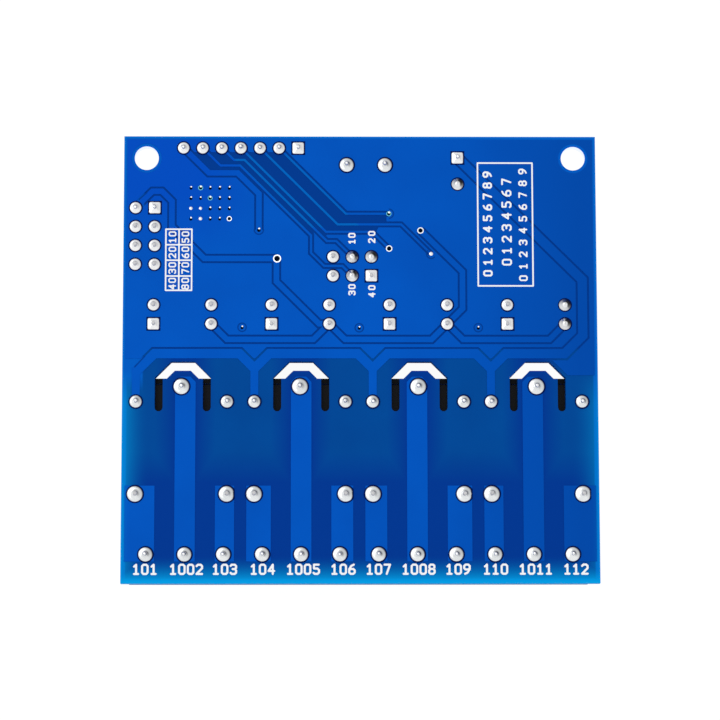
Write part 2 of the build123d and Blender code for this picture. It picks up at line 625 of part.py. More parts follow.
def relay_base():
    """Black plate that closes the case and holds the pins."""
    width = RELAY_WIDTH - 2 * (CASE_WALL + BASE_CLEARANCE)
    length = RELAY_LENGTH - 2 * (CASE_WALL + BASE_CLEARANCE)
    plate = box_on((width, length, BASE_THICKNESS), 0, COMMON_PIN_FROM_END - RELAY_LENGTH / 2, BASE_RISE)
    gap = 2 * PIN_FIT
    pins = [(COMMON_PIN_WIDTH, COMMON_PIN_THICKNESS, 0, 0)]
    for side in (-1, 1):
        x = side * RELAY_PIN_SIDE
        pins.append((COIL_PIN_SIZE, COIL_PIN_SIZE, x, -COIL_PIN_BACK))
        pins.append((CONTACT_PIN_WIDTH, BLADE_THICKNESS, x, -CONTACT_PIN_BACK))
    for width, depth, x, y in pins:
        plate -= box_on((width + gap, depth + gap, 2 * BASE_THICKNESS), x, y, 0)
    return plate


def relay_yoke():
    """L-shaped iron under and behind the coil, with the common pin at its foot."""
    foot_length = YOKE_BACK - (COIL_Y - BOBBIN_FLANGE / 2)
    foot = box_on((YOKE_WIDTH, foot_length, YOKE_THICKNESS), 0, YOKE_BACK - foot_length / 2, BASE_TOP)
    back = box_on((YOKE_WIDTH, YOKE_THICKNESS, POLE_FACE_HEIGHT - BASE_TOP),
                  0, YOKE_BACK - YOKE_THICKNESS / 2, BASE_TOP)
    pin = box_on((COMMON_PIN_WIDTH, COMMON_PIN_THICKNESS, BASE_TOP + BOARD_THICKNESS), 0, 0, -BOARD_THICKNESS)
    return foot + back + pin


def relay_bobbin():
    """Coil former: a tube between two flanges, the lower one wide enough to hold the coil pins."""
    top = POLE_FACE_HEIGHT - POLE_THICKNESS
    foot = box_on((BOBBIN_FOOT_WIDTH, BOBBIN_FLANGE, BOBBIN_FLANGE_THICKNESS), 0, COIL_Y, FOOT_TOP)
    head = box_on((BOBBIN_FLANGE, BOBBIN_FLANGE, BOBBIN_FLANGE_THICKNESS), 0, COIL_Y,
                  top - BOBBIN_FLANGE_THICKNESS)
    tube = prism_on(BOBBIN_TUBE_RADIUS, SMALL_SIDES, top - FOOT_TOP, 0, COIL_Y, FOOT_TOP)
    bore = prism_on(CORE_RADIUS + BASE_CLEARANCE, SMALL_SIDES, top, 0, COIL_Y, FOOT_TOP)
    former = foot + head + tube - bore
    hole = COIL_PIN_SIZE + 2 * PIN_FIT
    for side in (-1, 1):
        former -= box_on((hole, hole, top), side * RELAY_PIN_SIDE, -COIL_PIN_BACK, FOOT_TOP)
    return former


def relay_winding():
    """Copper wire between the flanges."""
    low = FOOT_TOP + BOBBIN_FLANGE_THICKNESS
    high = POLE_FACE_HEIGHT - POLE_THICKNESS - BOBBIN_FLANGE_THICKNESS
    wire = prism_on(WINDING_RADIUS, ROUND_SIDES, high - low, 0, COIL_Y, low)
    return wire - prism_on(BOBBIN_TUBE_RADIUS, SMALL_SIDES, high, 0, COIL_Y, low)


def relay_core():
    """Iron core that stands on the yoke, with its pole face above the bobbin."""
    shaft = prism_on(CORE_RADIUS, SMALL_SIDES, POLE_FACE_HEIGHT - FOOT_TOP, 0, COIL_Y, FOOT_TOP)
    pole = prism_on(POLE_RADIUS, ROUND_SIDES, POLE_THICKNESS, 0, COIL_Y, POLE_FACE_HEIGHT - POLE_THICKNESS)
    return shaft + pole


def coil_pin(side):
    """Square pin of the coil, through the base and the bobbin's foot."""
    length = BOARD_THICKNESS + FOOT_TOP + BOBBIN_FLANGE_THICKNESS + COIL_PIN_STAND
    return box_on((COIL_PIN_SIZE, COIL_PIN_SIZE, length), side * RELAY_PIN_SIDE, -COIL_PIN_BACK,
                  -BOARD_THICKNESS)


def opened(shape):
    """Turns a shape that was built closed on the pole to the open position about the yoke's edge."""
    to_hinge, from_hinge = Pos(0, YOKE_BACK, HINGE_HEIGHT), Pos(0, -YOKE_BACK, -HINGE_HEIGHT)
    return to_hinge * Rot(-ARMATURE_OPEN_ANGLE, 0, 0) * from_hinge * shape


def relay_armature():
    """Iron plate that the pole pulls down, hinged on the yoke's edge; stored open."""
    plate = box_on((ARMATURE_WIDTH, ARMATURE_LENGTH, ARMATURE_THICKNESS), 0, YOKE_BACK - ARMATURE_LENGTH / 2,
                   HINGE_HEIGHT)
    return opened(plate)


def relay_contact_spring():
    """Leaf on the armature that carries the moving contact; stored open."""
    length = YOKE_BACK - CONTACT_Y + SPRING_PAST_CONTACT
    leaf = box_on((SPRING_WIDTH, length, SPRING_THICKNESS), 0, YOKE_BACK - length / 2, CLOSED_SPRING_BOTTOM)
    height = SPRING_THICKNESS + 2 * CONTACT_HEIGHT
    contact = prism_on(CONTACT_RADIUS, SMALL_SIDES, height, 0, CONTACT_Y,
                       CLOSED_SPRING_BOTTOM - CONTACT_HEIGHT)
    return opened(leaf + contact)


def fixed_contact(side, face, facing):
    """Blade from its pin up to an arm across the relay. The contact's face is at this height and looks up
    at the moving contact when facing is 1, or down at it when facing is -1."""
    seat = face - facing * CONTACT_HEIGHT
    arm_low = seat - BLADE_THICKNESS if facing > 0 else seat
    x = side * RELAY_PIN_SIDE
    reach = RELAY_PIN_SIDE + CONTACT_ARM_PAST + BLADE_WIDTH / 2
    arm_x = x + side * BLADE_WIDTH / 2 - side * reach / 2
    pin = box_on((CONTACT_PIN_WIDTH, BLADE_THICKNESS, BOARD_THICKNESS + BASE_TOP), x, CONTACT_Y,
                 -BOARD_THICKNESS)
    blade_height = arm_low + BLADE_THICKNESS - BASE_TOP
    blade = box_on((BLADE_WIDTH, BLADE_THICKNESS, blade_height), x, CONTACT_Y, BASE_TOP)
    arm = box_on((reach, CONTACT_ARM_WIDTH, BLADE_THICKNESS), arm_x, CONTACT_Y, arm_low)
    button = prism_on(CONTACT_RADIUS, SMALL_SIDES, CONTACT_HEIGHT, 0, CONTACT_Y, min(seat, face))
    return pin + blade + arm + button


def closed_contact():
    """Normally closed contact, above the moving one. It lands on the -X side once turned over."""
    face = CLOSED_SPRING_TOP + CONTACT_HEIGHT + OPEN_RISE + CONTACT_GAP
    return fixed_contact(1, face, -1)


def open_contact():
    """Normally open contact, below the moving one."""
    face = CLOSED_SPRING_BOTTOM - CONTACT_HEIGHT - CONTACT_GAP
    return fixed_contact(-1, face, 1)


def terminal_housing(offsets):
    """Moulded block with a wire entry, a clamp chamber and a screw well for each pole."""
    front, back = -BLOCK_FRONT, BLOCK_BACK
    profile = [(front, 0), (back, 0), (back, BLOCK_BACK_SLOPE_HEIGHT), (back - BLOCK_TOP_BACK, BLOCK_HEIGHT),
               (front + BLOCK_TOP_FRONT, BLOCK_HEIGHT),
               (front + BLOCK_SHOULDER_DEPTH, BLOCK_SHOULDER_HEIGHT), (front, BLOCK_SHOULDER_HEIGHT)]
    width = len(offsets) * TERMINAL_PITCH
    block = extrude(Plane.YZ * make_face(Polyline(*profile, close=True)), width / 2, both=True)
    chamber_front = -CLAMP_DEPTH / 2 - CLAMP_CLEARANCE
    chamber_back = BAR_BACK + CLAMP_CLEARANCE
    chamber = (CLAMP_WIDTH + 2 * CLAMP_CLEARANCE, chamber_back - chamber_front, LEDGE_HEIGHT)
    entry_low = WINDOW_BOTTOM - WIRE_ENTRY_MARGIN
    entry = (WIRE_ENTRY_WIDTH, BLOCK_FRONT, BAR_TOP - TERMINAL_BAR + WIRE_ENTRY_MARGIN - entry_low)
    for x in offsets:
        block -= box_on(entry, x, front + BLOCK_FRONT / 2, entry_low)
        block -= box_on(chamber, x, (chamber_front + chamber_back) / 2, 0)
        block -= prism_on(WELL_RADIUS, SCREW_SIDES, BLOCK_HEIGHT, x, 0, SCREW_SEAT)
        block -= prism_on(SHANK_HOLE_RADIUS, SMALL_SIDES, BLOCK_HEIGHT, x, 0, LEDGE_HEIGHT - SCREW_LEDGE)
    return block


def terminal_clamp():
    """Steel cage that climbs the screw and grips the wire against the bar; stored open."""
    cage = box_on((CLAMP_WIDTH, CLAMP_DEPTH, CLAMP_HEIGHT), 0, 0, CLAMP_RISE)
    window = (CLAMP_WIDTH - 2 * CLAMP_WALL, CLAMP_DEPTH, WINDOW_TOP - WINDOW_BOTTOM)
    cage -= box_on(window, 0, 0, WINDOW_BOTTOM)
    hole = 2 * (SCREW_SHANK_RADIUS + SCREW_RUNNING_GAP)
    return cage - box_on((hole, hole, CLAMP_HEIGHT), 0, 0, WINDOW_TOP)


def terminal_pin():
    """Bar bent round the back of the cage: its top lies in the cage's window, its foot ends in the pin."""
    inner = BAR_BACK - TERMINAL_BAR
    foot_front = -TERMINAL_PIN_SIZE / 2
    points = [(foot_front, 0), (BAR_BACK, 0), (BAR_BACK, BAR_TOP), (-TERMINAL_BAR_FRONT, BAR_TOP),
              (-TERMINAL_BAR_FRONT, BAR_TOP - TERMINAL_BAR), (inner, BAR_TOP - TERMINAL_BAR),
              (inner, TERMINAL_BAR), (foot_front, TERMINAL_BAR)]
    half_width = CLAMP_WIDTH / 2 - CLAMP_WALL - CLAMP_CLEARANCE
    bar = extrude(Plane.YZ * make_face(Polyline(*points, close=True)), half_width, both=True)
    return bar + box_on((TERMINAL_PIN_SIZE, TERMINAL_PIN_SIZE, BOARD_THICKNESS), 0, 0, -BOARD_THICKNESS)


def terminal_screw():
    """Slotted cheese-head screw; its head turns on the ledge and its tip ends just above the bar."""
    seat = SCREW_SEAT + SCREW_RUNNING_GAP
    head = prism_on(SCREW_HEAD_RADIUS, SCREW_SIDES, SCREW_HEAD_HEIGHT, 0, 0, seat)
    shank = prism_on(SCREW_SHANK_RADIUS, SMALL_SIDES, seat - SCREW_TIP, 0, 0, SCREW_TIP)
    slot_low = seat + SCREW_HEAD_HEIGHT - SCREW_SLOT_DEPTH
    return head + shank - box_on((SCREW_SLOT_WIDTH, 3 * SCREW_HEAD_RADIUS, SCREW_HEAD_HEIGHT), 0, 0, slot_low)


def pin_holes(columns, rows, size, depth, z=0.0):
    """Square holes for a centred grid of pins."""
    return [box_on((size, size, depth), x, y, z) for x, y in grid_places(0, 0, columns, rows, PIN_PITCH)]


def header_strip(columns, rows):
    """Plastic strip of a pin header, notched between its pins."""
    strip = box_on((columns * PIN_PITCH, rows * PIN_PITCH, STRIP_HEIGHT))
    notch = box_on((STRIP_NOTCH, STRIP_NOTCH, 2 * STRIP_HEIGHT), 0, 0, -STRIP_HEIGHT / 2)
    for step in range(1, columns):
        for side in (-1, 1):
            corner = Pos((step - columns / 2) * PIN_PITCH, side * rows * PIN_PITCH / 2, 0)
            strip -= corner * Rot(0, 0, 45) * notch
    return strip - pin_holes(columns, rows, HEADER_PIN_SIZE + 2 * PIN_FIT, STRIP_HEIGHT)


def header_pin():
    """Square post of a pin header."""
    length = HEADER_PIN_HEIGHT + BOARD_THICKNESS
    return box_on((HEADER_PIN_SIZE, HEADER_PIN_SIZE, length), 0, 0, -BOARD_THICKNESS)


def jumper_cap():
    """Shunt that joins two posts side by side."""
    cap = box_on((2 * PIN_PITCH - 2 * CAP_MARGIN, PIN_PITCH - 2 * CAP_MARGIN, CAP_HEIGHT), 0, 0, STRIP_HEIGHT)
    cap = chamfer(cap.faces().sort_by(Axis.Z)[-1].edges(), CAP_BEVEL)
    return cap - pin_holes(2, 1, HEADER_PIN_SIZE + 2 * PIN_FIT, CAP_HEIGHT - CAP_ROOF, STRIP_HEIGHT)


def module_socket():
    """Socket body: one square cell for each contact, with a floor that the tail goes through."""
    body = box_on((SOCKET_COLUMNS * PIN_PITCH, SOCKET_ROWS * PIN_PITCH, SOCKET_HEIGHT))
    body -= pin_holes(SOCKET_COLUMNS, SOCKET_ROWS, SOCKET_CELL, SOCKET_HEIGHT, SOCKET_FLOOR)
    return body - pin_holes(SOCKET_COLUMNS, SOCKET_ROWS, SOCKET_TAIL + 2 * PIN_FIT, SOCKET_FLOOR)


def socket_contact():
    """Fork of two leaves on a tail."""
    fork_height = SOCKET_HEIGHT - SOCKET_FLOOR - SOCKET_FORK_BELOW_TOP
    tail = box_on((SOCKET_TAIL, SOCKET_TAIL, SOCKET_FLOOR + BOARD_THICKNESS), 0, 0, -BOARD_THICKNESS)
    fork = box_on((SOCKET_CONTACT, SOCKET_CONTACT, fork_height), 0, 0, SOCKET_FLOOR)
    gap = (SOCKET_CONTACT - 2 * SOCKET_LEAF, SOCKET_CONTACT, fork_height)
    return tail + fork - box_on(gap, 0, 0, SOCKET_FLOOR + SOCKET_LEAF)


def optocoupler_body():
    """Moulded body with draft above its parting line."""
    outline = Rectangle(OPTO_BODY_X, OPTO_BODY_Y)
    upper = extrude(outline, OPTO_BODY_HEIGHT - OPTO_PARTING, taper=OPTO_DRAFT)
    lower = extrude(outline, -OPTO_PARTING, taper=OPTO_DRAFT)
    return Pos(0, 0, OPTO_STAND + OPTO_PARTING) * (upper + lower)


def optocoupler_lead(side):
    """Lead that leaves the body at its parting line and bends down through the board."""
    body_side = OPTO_BODY_X / 2
    middle = OPTO_LEAD_SPAN / 2
    half = OPTO_LEAD_THICKNESS / 2
    height = OPTO_STAND + OPTO_PARTING
    points = [(body_side, height - half), (middle - half, height - half), (middle - half, -BOARD_THICKNESS),
              (middle + half, -BOARD_THICKNESS), (middle + half, height + half), (body_side, height + half)]
    outline = make_face(Polyline(*[(side * x, z) for x, z in points], close=True))
    return extrude(Plane.XZ * outline, OPTO_LEAD_WIDTH / 2, both=True)


def capacitor_can():
    """Sleeved can with the rolled groove at its foot and a bevelled crown."""
    can = prism_on(CAPACITOR_RADIUS, CAN_SIDES, CAPACITOR_HEIGHT)
    can = chamfer(can.faces().sort_by(Axis.Z)[-1].edges(), CAPACITOR_CROWN)
    groove_height = 2 * CAPACITOR_GROOVE_DEPTH
    ring = rod_on(2 * CAPACITOR_RADIUS, groove_height)
    ring -= prism_on(CAPACITOR_RADIUS - CAPACITOR_GROOVE_DEPTH, CAN_SIDES, groove_height)
    return can - Pos(0, 0, CAPACITOR_GROOVE_HEIGHT) * ring


def capacitor_lead():
    """Lead from the can's base through the board."""
    return prism_on(CAPACITOR_LEAD_RADIUS, ROUND_SIDES, BOARD_THICKNESS, 0, 0, -BOARD_THICKNESS)


def moulded_body(size, stand=0.0):
    """Small moulded body with draft on its upper half."""
    length, width, height = size
    lower = box_on((length, width, height / 2), 0, 0, stand)
    upper = Pos(0, 0, stand + height / 2) * extrude(Rectangle(length, width), height / 2, taper=MOULD_DRAFT)
    return lower + upper


def controller_lead(side):
    """Gull-wing lead: a foot on the board and a rise to the body."""
    body_side = CONTROLLER_SIZE[1] / 2
    foot = body_side + CONTROLLER_LEAD_REACH
    bend = body_side + CONTROLLER_LEAD_REACH / 3
    thick, high = CONTROLLER_LEAD_THICKNESS, CONTROLLER_LEAD_HEIGHT
    points = [(body_side, high), (bend, thick), (foot, thick), (foot, 0), (bend - thick, 0),
              (body_side, high - thick)]
    outline = make_face(Polyline(*[(side * y, z) for y, z in points], close=True))
    return extrude(Plane.YZ * outline, CONTROLLER_LEAD_WIDTH / 2, both=True)


def regulator_tab(size):
    """Metal tab under a regulator's body, reaching out at one side."""
    length, width, _ = size
    tab = (length * TAB_SHARE, width + REGULATOR_TAB_REACH, TAB_THICKNESS)
    return box_on(tab, 0, REGULATOR_TAB_REACH / 2)


def regulator_body(size):
    """Moulded body that stands on its tab."""
    return moulded_body((size[0], size[1], size[2] - TAB_THICKNESS), TAB_THICKNESS)


def at_each(shape, places):
    """The same shape hung under the board at each place."""
    return [under_board(shape, *place) for place in places]


def offset_places(offset):
    """One place for each channel, at this offset from the relay's common pin."""
    return [(x + offset[0], RELAY_COMMON_Y + offset[1]) for x in relay_xs]


def from_top(place):
    """Place given by its distance from the +Y edge."""
    return (place[0], TOP_Y - place[1])


def from_corner(place):
    """Place given by its distances from the -X and +Y edges."""
    return (LEFT_X + place[0], TOP_Y - place[1])


os.makedirs("parts", exist_ok=True)

# Board, copper and solder
write("circuit_board", circuit_board())
write("copper_layer", *copper_layer())
write("solder_joints", *[solder_joint(pin, kind) for pins, kind, _ in pin_kinds for pin in pins])

# Relays
relay_places = [(x, RELAY_COMMON_Y) for x in relay_xs]
for number, place in enumerate(relay_places, start=1):
    write(f"relay_{number}_case", under_board(relay_case(), *place))
    write(f"relay_{number}_armature", under_board(relay_armature(), *place))
    write(f"relay_{number}_contact_spring", under_board(relay_contact_spring(), *place))
write("relay_bases", *at_each(relay_base(), relay_places))
write("relay_yokes", *at_each(relay_yoke(), relay_places))
write("relay_bobbins", *at_each(relay_bobbin(), relay_places))
write("relay_windings", *at_each(relay_winding(), relay_places))
write("relay_cores", *at_each(relay_core(), relay_places))
write("relay_coil_pins", *at_each(coil_pin(-1), relay_places), *at_each(coil_pin(1), relay_places))
write("relay_closed_contacts", *at_each(closed_contact(), relay_places))
write("relay_open_contacts", *at_each(open_contact(), relay_places))

# Terminal blocks, the power one turned to the other edge
output_housing = terminal_housing(pole_offsets)
power_housing = Rot(0, 0, 180) * terminal_housing(power_offsets)
write("output_terminal_housings", *at_each(output_housing, [(x, TERMINAL_Y) for x in block_xs]))
write("power_terminal_housing", under_board(power_housing, POWER_X, POWER_Y))
turned_clamp, turned_pin = Rot(0, 0, 180) * terminal_clamp(), Rot(0, 0, 180) * terminal_pin()
write("terminal_clamps", *at_each(terminal_clamp(), terminal_pins), *at_each(turned_clamp, power_pins))
write("terminal_pins", *at_each(terminal_pin(), terminal_pins), *at_each(turned_pin, power_pins))
for number, place in enumerate(terminal_pins):
    channel, pole = divmod(number, TERMINAL_POLES)
    contact = ("closed", "common", "open")[pole]
    write(f"screw_{channel + 1}_{contact}", under_board(terminal_screw(), *place))
for name, place in zip(("left", "right"), power_pins):
    write(f"screw_power_{name}", under_board(terminal_screw(), *place))

# Headers and socket
bridged = [
    ((jumper_pins[row * JUMPER_COLUMNS + 1][0] + jumper_pins[row * JUMPER_COLUMNS + 2][0]) / 2,
     jumper_pins[row * JUMPER_COLUMNS][1])
    for row in range(JUMPER_ROWS)
]
write("programming_header", under_board(header_strip(HEADER_COUNT, 1), HEADER_X, HEADER_Y))
write("jumper_header", under_board(header_strip(JUMPER_COLUMNS, JUMPER_ROWS), JUMPER_X, JUMPER_Y))
write("header_pins", *at_each(header_pin(), header_pins + jumper_pins))
write("jumper_caps", *at_each(jumper_cap(), bridged))
write("module_socket", under_board(module_socket(), SOCKET_X, SOCKET_Y))
write("module_socket_contacts", *at_each(socket_contact(), socket_pins))

# Leaded parts
opto_places = [(x + OPTO_SHIFT, OPTO_Y) for x in relay_xs]
opto_rows = [(x, y + row * PIN_PITCH / 2) for x, y in opto_places for row in (-1, 1)]
write("optocouplers", *at_each(optocoupler_body(), opto_places))
write("optocoupler_leads", *[lead for side in (-1, 1) for lead in at_each(optocoupler_lead(side), opto_rows)])
write("power_capacitor", under_board(capacitor_can(), CAPACITOR_X, CAPACITOR_Y))
write("capacitor_leads", *at_each(capacitor_lead(), capacitor_pins))

# Surface-mounted parts
lead_xs = [
    (index - (CONTROLLER_LEADS / 2 - 1) / 2) * CONTROLLER_LEAD_PITCH for index in range(CONTROLLER_LEADS // 2)
]
controller_x, controller_y = from_top(CONTROLLER_PLACE)
lead_places = [(controller_x + x, controller_y) for x in lead_xs]
controller_body = moulded_body(CONTROLLER_SIZE, CONTROLLER_STAND)
write("controller_chip", under_board(controller_body, controller_x, controller_y))
write("controller_leads", *[at for side in (-1, 1) for at in at_each(controller_lead(side), lead_places)])
regulators = ((REGULATOR_SIZE, from_corner(REGULATOR_PLACE)),
              (SMALL_REGULATOR_SIZE, from_corner(SMALL_REGULATOR_PLACE)))
write("voltage_regulators", *[under_board(regulator_body(size), *place) for size, place in regulators])
write("regulator_tabs", *[under_board(regulator_tab(size), *place) for size, place in regulators])
write("channel_transistors", *at_each(moulded_body(TRANSISTOR_SIZE), offset_places(TRANSISTOR_OFFSET)))
write("flyback_diodes", *at_each(moulded_body(DIODE_SIZE), offset_places(DIODE_OFFSET)))
chip_offsets = [(x, LOWER_ROW_RISE) for x in LOWER_CHIP_XS] + [(x, UPPER_ROW_RISE) for x in UPPER_CHIP_XS]
chip_places = [place for offset in chip_offsets for place in offset_places(offset)]
chip_places += [from_top(place) for place in LOOSE_CHIPS] + [from_corner(place) for place in LEFT_CHIPS]
light_places = offset_places((LIGHT_X, UPPER_ROW_RISE)) + [from_top(POWER_LIGHT_PLACE)]
write("chip_parts", *at_each(box_on(CHIP_SIZE), chip_places))
write("status_lights", *at_each(box_on(LIGHT_SIZE), light_places))
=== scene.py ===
"""Finishes, solder, print and studio for the relay module board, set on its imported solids."""

import json
import logging
import math
import random
from dataclasses import dataclass
from enum import Enum

import bmesh
import bpy
from mathutils import Euler, Matrix, Vector

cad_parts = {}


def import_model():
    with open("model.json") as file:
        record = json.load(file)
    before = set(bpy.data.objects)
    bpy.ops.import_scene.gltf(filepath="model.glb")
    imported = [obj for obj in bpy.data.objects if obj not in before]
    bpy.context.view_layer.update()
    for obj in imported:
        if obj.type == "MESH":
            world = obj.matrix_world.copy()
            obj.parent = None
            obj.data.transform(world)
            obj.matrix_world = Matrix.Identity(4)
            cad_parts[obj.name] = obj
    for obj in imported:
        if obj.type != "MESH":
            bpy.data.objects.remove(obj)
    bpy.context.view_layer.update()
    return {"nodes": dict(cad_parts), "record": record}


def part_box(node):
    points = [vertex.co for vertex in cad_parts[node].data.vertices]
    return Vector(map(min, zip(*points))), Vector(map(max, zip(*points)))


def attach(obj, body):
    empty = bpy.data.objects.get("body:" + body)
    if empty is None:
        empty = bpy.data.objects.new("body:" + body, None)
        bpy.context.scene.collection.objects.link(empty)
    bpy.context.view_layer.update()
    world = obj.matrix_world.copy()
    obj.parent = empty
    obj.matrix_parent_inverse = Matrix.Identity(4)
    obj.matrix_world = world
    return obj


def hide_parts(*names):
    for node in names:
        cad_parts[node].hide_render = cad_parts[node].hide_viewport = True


LOG = logging.getLogger("relay_board")
MM = 0.001
HOLE_FROM_SIDE = 3.0
HOLE_FROM_TOP = 2.97
BOARD_BODY = "board"
BLACK = (0, 0, 0)
WHITE = (255, 255, 255)
UP = (0.0, 0.0, 1.0)
UPPER_RIGHT = (0.8, 0.6, 0.0)
CORNERS = ((-1, -1), (1, -1), (1, 1), (-1, 1))
STROKE_END_STEPS = 6

Colour = tuple[int, int, int]
Linear = tuple[float, float, float, float]
Point = tuple[float, float]
Place = tuple[float, float, float]


def linear(colour: Colour) -> Linear:
    """Turns a colour of 0 to 255 into the linear values that shaders take.

    Args:
        colour: red, green and blue as the eye sees them.

    Returns:
        Red, green, blue and an alpha of 1.
    """
    parts = [part / 255 for part in colour]
    values = [part / 12.92 if part <= 0.04045 else ((part + 0.055) / 1.055) ** 2.4 for part in parts]
    return (values[0], values[1], values[2], 1.0)


def box_middle(name: str) -> Vector:
    """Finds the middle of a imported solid's box, in metres."""
    low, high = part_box(name)
    return (low + high) / 2


def around(middle: Point, radius: float, bearings: list[float]) -> list[Point]:
    """Lists the points at a radius round a middle, one for each bearing."""
    return [(middle[0] + radius * math.cos(turn), middle[1] + radius * math.sin(turn)) for turn in bearings]


def circle(middle: Point, radius: float, sides: int) -> list[Point]:
    """Lists the points of a circle."""
    return around(middle, radius, [2 * math.pi * step / sides for step in range(sides)])


class MeshPiece:
    """Gathers solid forms, in millimetres, and makes one piece of them that rides on a body."""

    def __init__(self, name: str) -> None:
        """Starts an empty piece with a plain name."""
        self.name = name
        self.work = bmesh.new()

    def rings(self, loops: list[list[Vector]], joined: bool = False) -> None:
        """Skins a run of rings with the same number of points.

        Args:
            loops: the rings, in order from the base to the tip.
            joined: whether the last ring joins the first, instead of a face on each.
        """
        rows = [[self.work.verts.new(point) for point in loop] for loop in loops]
        for lower, upper in zip(rows, rows[1:] + rows[:1] if joined else rows[1:]):
            for here, there in zip(range(len(lower)), [*range(1, len(lower)), 0]):
                self.work.faces.new((lower[here], lower[there], upper[there], upper[here]))
        if not joined:
            self.work.faces.new(rows[0][::-1])
            self.work.faces.new(rows[-1])

    def prism(self, outline: list[Point], low: float, high: float) -> None:
        """Adds an upright prism over a closed outline.

        Args:
            outline: corners of the outline, in order.
            low: height of its base.
            high: height of its top.
        """
        area = sum(a[0] * b[1] - b[0] * a[1] for a, b in zip(outline, outline[1:] + outline[:1]))
        corners = outline if area > 0 else outline[::-1]
        self.rings([[Vector((x, y, z)) for x, y in corners] for z in (low, high)])

    def stroke(self, start: Point, end: Point, width: float, low: float, high: float) -> None:
        """Adds one straight stroke with round ends.

        Args:
            start: first point of the line.
            end: last point of the line.
            width: width of the line.
            low: height of its base.
            high: height of its top.
        """
        angle = math.atan2(end[1] - start[1], end[0] - start[0]) - math.pi / 2
        turns = [angle + math.pi * step / STROKE_END_STEPS for step in range(STROKE_END_STEPS + 1)]
        back = [turn + math.pi for turn in turns]
        self.prism(around(end, width / 2, turns) + around(start, width / 2, back), low, high)

    def lathe(self, profile: list[Point], centre: Place, sides: int, joined: bool = False) -> None:
        """Adds a turned form about an upright axis.

        Args:
            profile: radius and height of each ring, from the base to the tip.
            centre: where the axis meets the base.
            sides: points round each ring.
            joined: whether the profile closes on itself, as a washer's does.
        """
        self.rings([[Vector((x, y, centre[2] + height)) for x, y in circle(centre[:2], radius, sides)]
                    for radius, height in profile], joined)

    def make(self, material: bpy.types.Material, body: str, slot: str, smooth_angle: float = 40.0,
             stands_for: tuple[str, ...] = ()) -> bpy.types.Object:
        """Turns what was gathered into one object in metres.

        Args:
            material: finish of the whole piece.
            body: moving body that it rides on.
            slot: material slot of the record that it belongs to; not used.
            smooth_angle: edges flatter than this, in degrees, look smooth.
            stands_for: solids that this piece is shown instead of.

        Returns:
            The new object.
        """
        bmesh.ops.scale(self.work, vec=(MM, MM, MM), verts=self.work.verts)
        mesh = bpy.data.meshes.new(self.name)
        self.work.to_mesh(mesh)
        self.work.free()
        mesh.materials.append(material)
        mesh.shade_smooth()
        mesh.set_sharp_from_angle(angle=math.radians(smooth_angle))
        piece = bpy.data.objects.new(self.name, mesh)
        bpy.context.scene.collection.objects.link(piece)
        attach(piece, body)
        if stands_for:
            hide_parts(*stands_for)
        LOG.info("%s: %d faces on %s", self.name, len(mesh.polygons), body)
        return piece


class SocketKind(Enum):
    """Kinds of socket that the shader groups have."""

    COLOUR = "NodeSocketColor"
    NUMBER = "NodeSocketFloat"


class Term:
    """A value in a shader tree, which takes part in sums as a number does."""

    def __init__(self, graph: "Graph", socket: bpy.types.NodeSocket) -> None:
        """Keeps a socket with its graph."""
        self.graph = graph
        self.socket = socket

    def __add__(self, other: "Term | float") -> "Term":
        """Adds a value."""
        return self.graph.reckon("ADD", self, other)

    def __sub__(self, other: "Term | float") -> "Term":
        """Takes a value away."""
        return self.graph.reckon("SUBTRACT", self, other)

    def __rsub__(self, other: float) -> "Term":
        """Takes this value away from a number."""
        return self.graph.reckon("SUBTRACT", other, self)

    def __mul__(self, other: "Term | float") -> "Term":
        """Multiplies by a value."""
        return self.graph.reckon("MULTIPLY", self, other)

    def __truediv__(self, other: "Term | float") -> "Term":
        """Divides by a value."""
        return self.graph.reckon("DIVIDE", self, other)

    def __pow__(self, other: float) -> "Term":
        """Raises to a power."""
        return self.graph.reckon("POWER", self, other)

    def __abs__(self) -> "Term":
        """Drops the sign."""
        return self.graph.reckon("ABSOLUTE", self)

    def clamped(self) -> "Term":
        """Keeps the value that was just worked out between 0 and 1."""
        self.socket.node.use_clamp = True
        return self


